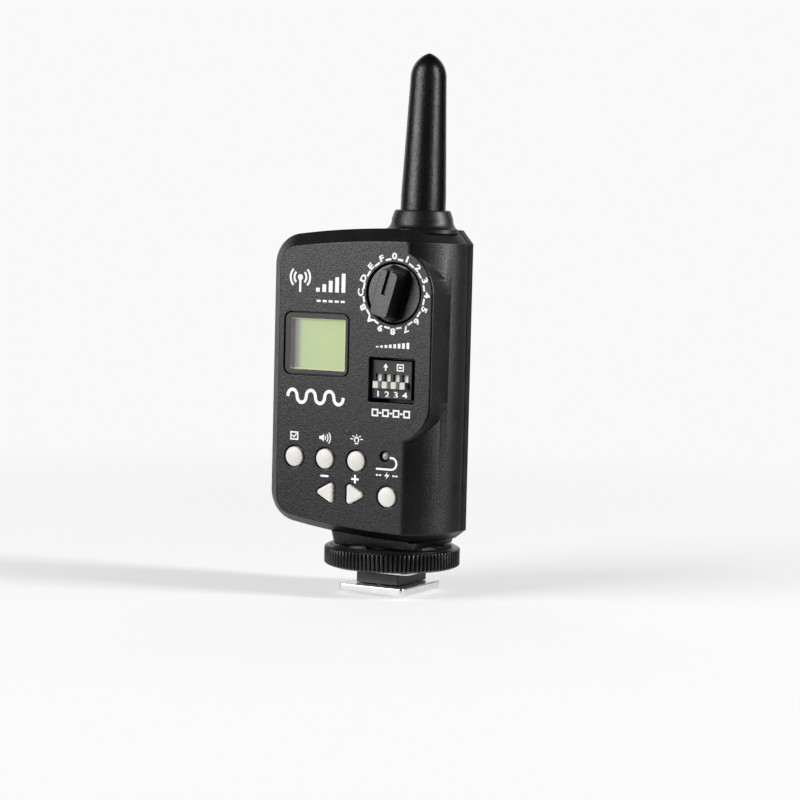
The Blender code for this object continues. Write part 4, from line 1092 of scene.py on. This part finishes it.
def numeral(text, x, z, height, turn=0.0, face=INK_FRONT, bold=0.060, stretch=1.3):
    """One printed character, centred on (x, z)."""
    curve = bpy.data.curves.new("numeral", "FONT")
    curve.body = text
    curve.size = height / 0.70
    curve.offset = bold * height
    curve.resolution_u = 3
    curve.extrude = 0.025
    shown = link(bpy.data.objects.new("numeral", curve))
    bake_curve = bpy.data.meshes.new_from_object(shown.evaluated_get(bpy.context.evaluated_depsgraph_get()))
    bpy.data.objects.remove(shown, do_unlink=True)
    xs = [v.co.x for v in bake_curve.vertices]
    ys = [v.co.y for v in bake_curve.vertices]
    middle = Vector(((min(xs) + max(xs)) / 2, (min(ys) + max(ys)) / 2, 0.0))
    c, s = math.cos(turn), math.sin(turn)
    for vertex in bake_curve.vertices:
        u, v, w = vertex.co - middle
        u *= stretch
        vertex.co = ((x + u * c - v * s) * MM, (face + 0.025 - w) * MM, (z + u * s + v * c) * MM)
    shape = bmesh.new()
    shape.from_mesh(bake_curve)
    return from_bmesh("numeral", shape)


def dial_marks():
    """Sixteen numbered positions joined by dashes."""
    marks = []
    centre = (6.42, 76.3)
    for k, text in enumerate("0123456789ABCDEF"):
        turn = math.radians(-22.5 * k)
        spot_at = (centre[0] + 9.4 * math.sin(-turn), centre[1] + 9.4 * math.cos(turn))
        marks.append(numeral(text, *spot_at, 1.5, turn))
        start = 90 - 22.5 * k - 6.8
        marks.append(stroke(arc(centre, 8.64, start, start - 8.9, 5), 0.50))
    return marks


def face_marks():
    """Generic pictograms and bars where the unit's wording stands."""
    marks = []
    # level ramp under the dial
    for k in range(8):
        x = 2.1 + 1.24 * k
        marks.append(spot(corners(x - 0.38, 62.75, x + 0.38, 63.1 + 0.17 * k)))
    # four linked squares under the DIP switch
    for k in range(4):
        x = 1.9 + 3.0 * k
        marks.append(stroke(corners(x - 0.75, 45.65, x + 0.75, 47.15), 0.4, closed=True))
        if k < 3:
            marks.append(stroke([(x + 1.2, 46.4), (x + 1.8, 46.4)], 0.4))
    # tick in a frame over the first key
    marks.append(stroke(corners(-22.4, 38.2, -20.4, 40.0), 0.36, closed=True))
    marks.append(stroke([(-22.0, 39.2), (-21.5, 38.75), (-20.8, 39.6)], 0.3))
    # sounder over the second key
    horn = [(-14.0, 38.7), (-13.4, 38.7), (-12.7, 38.1), (-12.7, 40.1), (-13.4, 39.5), (-14.0, 39.5)]
    marks.append(spot(horn[::-1]))
    for radius in (0.7, 1.4, 2.1):
        marks.append(stroke(arc((-12.9, 39.1), radius, -38, 38, 8), 0.3))
    # lamp with rays over the third key
    marks.append(stroke(arc((-3.2, 39.15), 0.62, -50, 230, 16), 0.32))
    marks.append(stroke([(-3.6, 38.25), (-2.8, 38.25)], 0.34))
    for angle in (10, 50, 90, 130, 170):
        c, s = math.cos(math.radians(angle)), math.sin(math.radians(angle))
        marks.append(stroke([(-3.2 + 1.15 * c, 39.15 + 1.0 * s), (-3.2 + 1.75 * c, 39.15 + 1.3 * s)], 0.28))
    # spark over the trial key
    spark = [(5.0, 30.5), (5.9, 31.75), (5.65, 30.95), (6.5, 31.0), (5.35, 29.75), (5.75, 30.6)]
    marks.append(spot(spark[::-1]))
    for x in (2.9, 3.75, 7.6, 8.45):
        marks.append(stroke([(x - 0.2, 30.75), (x + 0.2, 30.75)], 0.4))
    # hooked line from the lamp
    hook = [(6.55, 35.25)] + arc((6.85, 33.8), 1.5, 72, -90, 16) + [(2.7, 32.3)]
    marks.append(stroke(hook, 0.5))
    marks.append(stroke([(-13.3, 29.4), (-11.25, 29.4)], 0.5))
    marks.append(stroke([(-4.35, 29.2), (-2.45, 29.2)], 0.5))
    marks.append(stroke([(-3.4, 28.25), (-3.4, 30.15)], 0.5))
    return marks


def panel_marks():
    """Plain wave and bar motifs in the two larger printed areas."""
    marks = []
    # upper: aerial with waves and a level ladder
    marks.append(stroke([(-20.6, 75.9), (-20.6, 79.0)], 0.62))
    marks.append(spot([(-20.6 + 0.75 * math.cos(a), 79.5 + 0.75 * math.sin(a))
                       for a in [2 * math.pi * k / 24 for k in range(24)]]))
    for radius in (1.75, 2.85):
        marks.append(stroke(arc((-20.6, 79.5), radius, -42, 42, 12), 0.55))
        marks.append(stroke(arc((-20.6, 79.5), radius, 138, 222, 12), 0.55))
    for k in range(5):
        x = -15.4 + 1.85 * k
        top = 77.0 + 0.95 * k
        marks.append(spot(corners(x - 0.55, 76.0, x + 0.55, top)))
    for k in range(5):
        x = -15.1 + 1.75 * k
        marks.append(stroke([(x - 0.45, 73.7), (x + 0.45, 73.7)], 0.55))
    # lower: a run of even waves
    for k in range(6):
        middle = -22.2 + 2.7 * k
        rise = 1.6 if k % 2 == 0 else -1.6
        half = [math.pi * t / 12 for t in range(13)]
        marks.append(stroke([(middle - 1.35 * math.cos(a), 49.3 + rise * math.sin(a)) for a in half], 0.85))
    return marks


def dip_marks():
    """Numbers under the levers, and an arrow for the way they switch on."""
    face, back = DIP_FACE + 0.06, DIP_FACE + 0.12
    marks = [numeral(str(k + 1), x, 50.98, 1.55, 0.0, face, 0.03) for k, x in enumerate(dip_slots())]
    x = 3.9
    marks.append(spot([(x - 0.7, 57.75), (x + 0.7, 57.75), (x, 58.75)], face, back))
    marks.append(stroke([(x, 57.0), (x, 57.8)], 0.4, face, back))
    marks.append(stroke(corners(7.2, 57.1, 8.9, 58.6), 0.3, face, back, True))
    marks.append(stroke([(7.75, 57.85), (8.35, 57.85)], 0.5, face, back))
    return marks


def make_marks():
    """Each group of printed marks as one piece."""
    groups = (("dial_legend", dial_marks()), ("key_legend", face_marks()),
              ("panel_legend", panel_marks()), ("dip_legend", dip_marks()))
    for name, marks in groups:
        piece = merge(name, marks)
        finish(piece, "legend", "housing", "white_plastic", sharp=math.radians(60))


# ---------------------------------------------------------------- carried-over nodes

def dress_nodes():
    """Materials for the CAD nodes that stay: the inside parts."""
    looks = {"main_board": "board", "rotary_switch_body": "trim", "lcd_frame": "trim",
             "power_switch_body": "trim", "battery_cell_1": "cell", "battery_cell_2": "cell",
             "antenna_rod": "brass"}
    for name, node in NODES.items():
        look = looks.get(name)
        if look is None and name.startswith("tact_"):
            look = "trim"
        if look is None and name.startswith("contact_"):
            look = "steel"
        if look:
            node.data.materials.clear()
            node.data.materials.append(MAT[look])


# ---------------------------------------------------------------- stage

VIEW_AZIMUTH = 28.3
VIEW_PITCH = 4.40
VIEW_ROLL = 1.40
VIEW_LENS = 119.25
VIEW_FROM = (0.32107, -0.59402, 0.10060)


def make_floor():
    """Pale floor that fades into the background; only the disc under the foot is mirrored in the object."""
    made, tree, shader = new_material("floor_pale")
    coords = add(tree, "ShaderNodeTexCoord").outputs["Object"]
    length = add(tree, "ShaderNodeVectorMath", operation="LENGTH")
    tree.links.new(coords, length.inputs[0])
    clear = add(tree, "ShaderNodeBsdfTransparent")
    mix = add(tree, "ShaderNodeMixShader")
    tree.links.new(spread(tree, length.outputs["Value"], 0.0, 1.0, 0.07, 0.40), mix.inputs[0])
    tree.links.new(shader.outputs[0], mix.inputs[1])
    tree.links.new(clear.outputs[0], mix.inputs[2])
    tree.links.new(mix.outputs[0], tree.nodes["Material Output"].inputs["Surface"])
    shader.inputs["Base Color"].default_value = (0.60, 0.60, 0.60, 1.0)
    shader.inputs["Roughness"].default_value = 0.9
    shader.inputs["Specular IOR Level"].default_value = 0.0
    shader.inputs["Emission Color"].default_value = (1.0, 1.0, 1.0, 1.0)
    shader.inputs["Emission Strength"].default_value = 0.42
    inner = 0.06
    disc = bmesh.new()
    bmesh.ops.create_circle(disc, cap_ends=True, segments=96, radius=inner)
    near = from_bmesh("studio_floor_near", disc)
    turns = [2 * math.pi * k / 96 for k in range(96)]
    ring = bmesh.new()
    rows = [[ring.verts.new((r * math.cos(a), r * math.sin(a), 0.0)) for a in turns] for r in (inner, 1.2)]
    for i in range(96):
        j = (i + 1) % 96
        ring.faces.new((rows[0][i], rows[1][i], rows[1][j], rows[0][j]))
    far = from_bmesh("studio_floor", ring)
    far.visible_glossy = False
    far.visible_diffuse = False
    for piece in (near, far):
        piece.location = (0.0, 0.0, -0.75 * MM)
        piece.data.materials.append(made)


def make_backdrop():
    """Even white paper behind the object: it is the background and lights the edges at grazing angles."""
    shape = bmesh.new()
    bmesh.ops.create_grid(shape, x_segments=1, y_segments=1, size=0.5)
    sheet = from_bmesh("studio_paper", shape)
    away = math.radians(VIEW_AZIMUTH + 180)
    sheet.scale = (3.0, 2.2, 1.0)
    sheet.location = (1.6 * math.sin(away), -1.6 * math.cos(away), 0.35)
    sheet.rotation_euler = (math.radians(90), 0.0, math.radians(VIEW_AZIMUTH))
    made, tree, _ = new_material("paper_white")
    glow = add(tree, "ShaderNodeEmission", Strength=BACKGROUND)
    tree.links.new(glow.outputs[0], tree.nodes["Material Output"].inputs["Surface"])
    sheet.data.materials.append(made)


def softbox(name, azimuth, distance, size, power, height):
    """A rectangular light at an azimuth from the control face."""
    light = bpy.data.lights.new(name, "AREA")
    light.shape = "RECTANGLE"
    light.size, light.size_y = size
    light.energy = power
    lamp = link(bpy.data.objects.new(name, light))
    a = math.radians(azimuth)
    upright_turn = Matrix.Rotation(a, 4, "Z") @ Matrix.Rotation(math.radians(90), 4, "X")
    spot_at = Matrix.Translation((distance * math.sin(a), -distance * math.cos(a), height))
    lamp.matrix_world = spot_at @ upright_turn
    lamp.visible_camera = False
    return lamp


def only_on(lamp, pieces):
    """Let a light fall on these pieces alone."""
    group = bpy.data.collections.new(lamp.name + "_on")
    for piece in pieces:
        group.objects.link(piece)
    lamp.light_linking.receiver_collection = group


def make_light():
    """Broad key on the left; on the right a strip for the case and one for the antenna."""
    softbox("key_left", -32.0, 0.95, (0.64, 0.90), 12.6, 0.51)
    softbox("rim_left", -112.0, 1.0, (0.6, 0.9), 0.5, 0.50)
    case_strip = softbox("strip_case", 105.0, 0.95, (0.24, 0.80), 13.0, 0.49)
    antenna_strip = softbox("strip_antenna", 84.0, 0.95, (0.28, 0.90), 8.5, 0.53)
    antenna = bpy.data.objects["antenna_cover"]
    only_on(antenna_strip, [antenna])
    shaded = (antenna, bpy.data.objects["dial_knob"])
    rest = [obj for obj in bpy.data.objects if obj.type == "MESH" and obj not in shaded]
    only_on(case_strip, rest)
    world = bpy.data.worlds.new("studio")
    bpy.context.scene.world = world
    world.use_nodes = True
    tree = world.node_tree
    background = tree.nodes["Background"]
    path = add(tree, "ShaderNodeLightPath")
    level = add(tree, "ShaderNodeMapRange")
    level.inputs["To Min"].default_value = 0.02
    level.inputs["To Max"].default_value = BACKGROUND
    tree.links.new(path.outputs["Is Camera Ray"], level.inputs["Value"])
    tree.links.new(level.outputs["Result"], background.inputs["Strength"])
    background.inputs["Color"].default_value = (1.0, 1.0, 1.0, 1.0)
    bpy.context.scene.view_settings.view_transform = "Standard"


def make_camera():
    """Long lens, a little above and to the right of the control face, rolled slightly."""
    azimuth, pitch, roll = [math.radians(angle) for angle in (VIEW_AZIMUTH, VIEW_PITCH, VIEW_ROLL)]
    data = bpy.data.cameras.new("view")
    data.sensor_width = 36.0
    data.lens = VIEW_LENS
    data.clip_start = 0.05
    data.clip_end = 20.0
    camera = link(bpy.data.objects.new("view", data))
    level = math.cos(pitch)
    back = Vector((math.sin(azimuth) * level, -math.cos(azimuth) * level, math.sin(pitch)))
    right = Vector((math.cos(azimuth), math.sin(azimuth), 0.0))
    up = back.cross(right)
    right, up = (right * math.cos(roll) + up * math.sin(roll), up * math.cos(roll) - right * math.sin(roll))
    turn = Matrix((right, up, back)).transposed().to_4x4()
    camera.matrix_world = Matrix.Translation(VIEW_FROM) @ turn
    bpy.context.scene.camera = camera


def build():
    make_front_shell()
    make_rear_shell()
    make_door()
    make_display()
    for name, x in ROW_X.items():
        make_round_cap(name, x, ROW_Z)
    make_round_cap("test", *TEST_AT)
    for name in ARROWS:
        make_arrow_cap(name)
    make_lamp()
    make_dial()
    make_dip_switch()
    make_side_parts()
    make_antenna()
    make_pedestal()
    make_foot()
    make_wheel()
    make_screws()
    make_marks()
    dress_nodes()
    make_floor()
    make_backdrop()
    make_light()
    make_camera()


build()
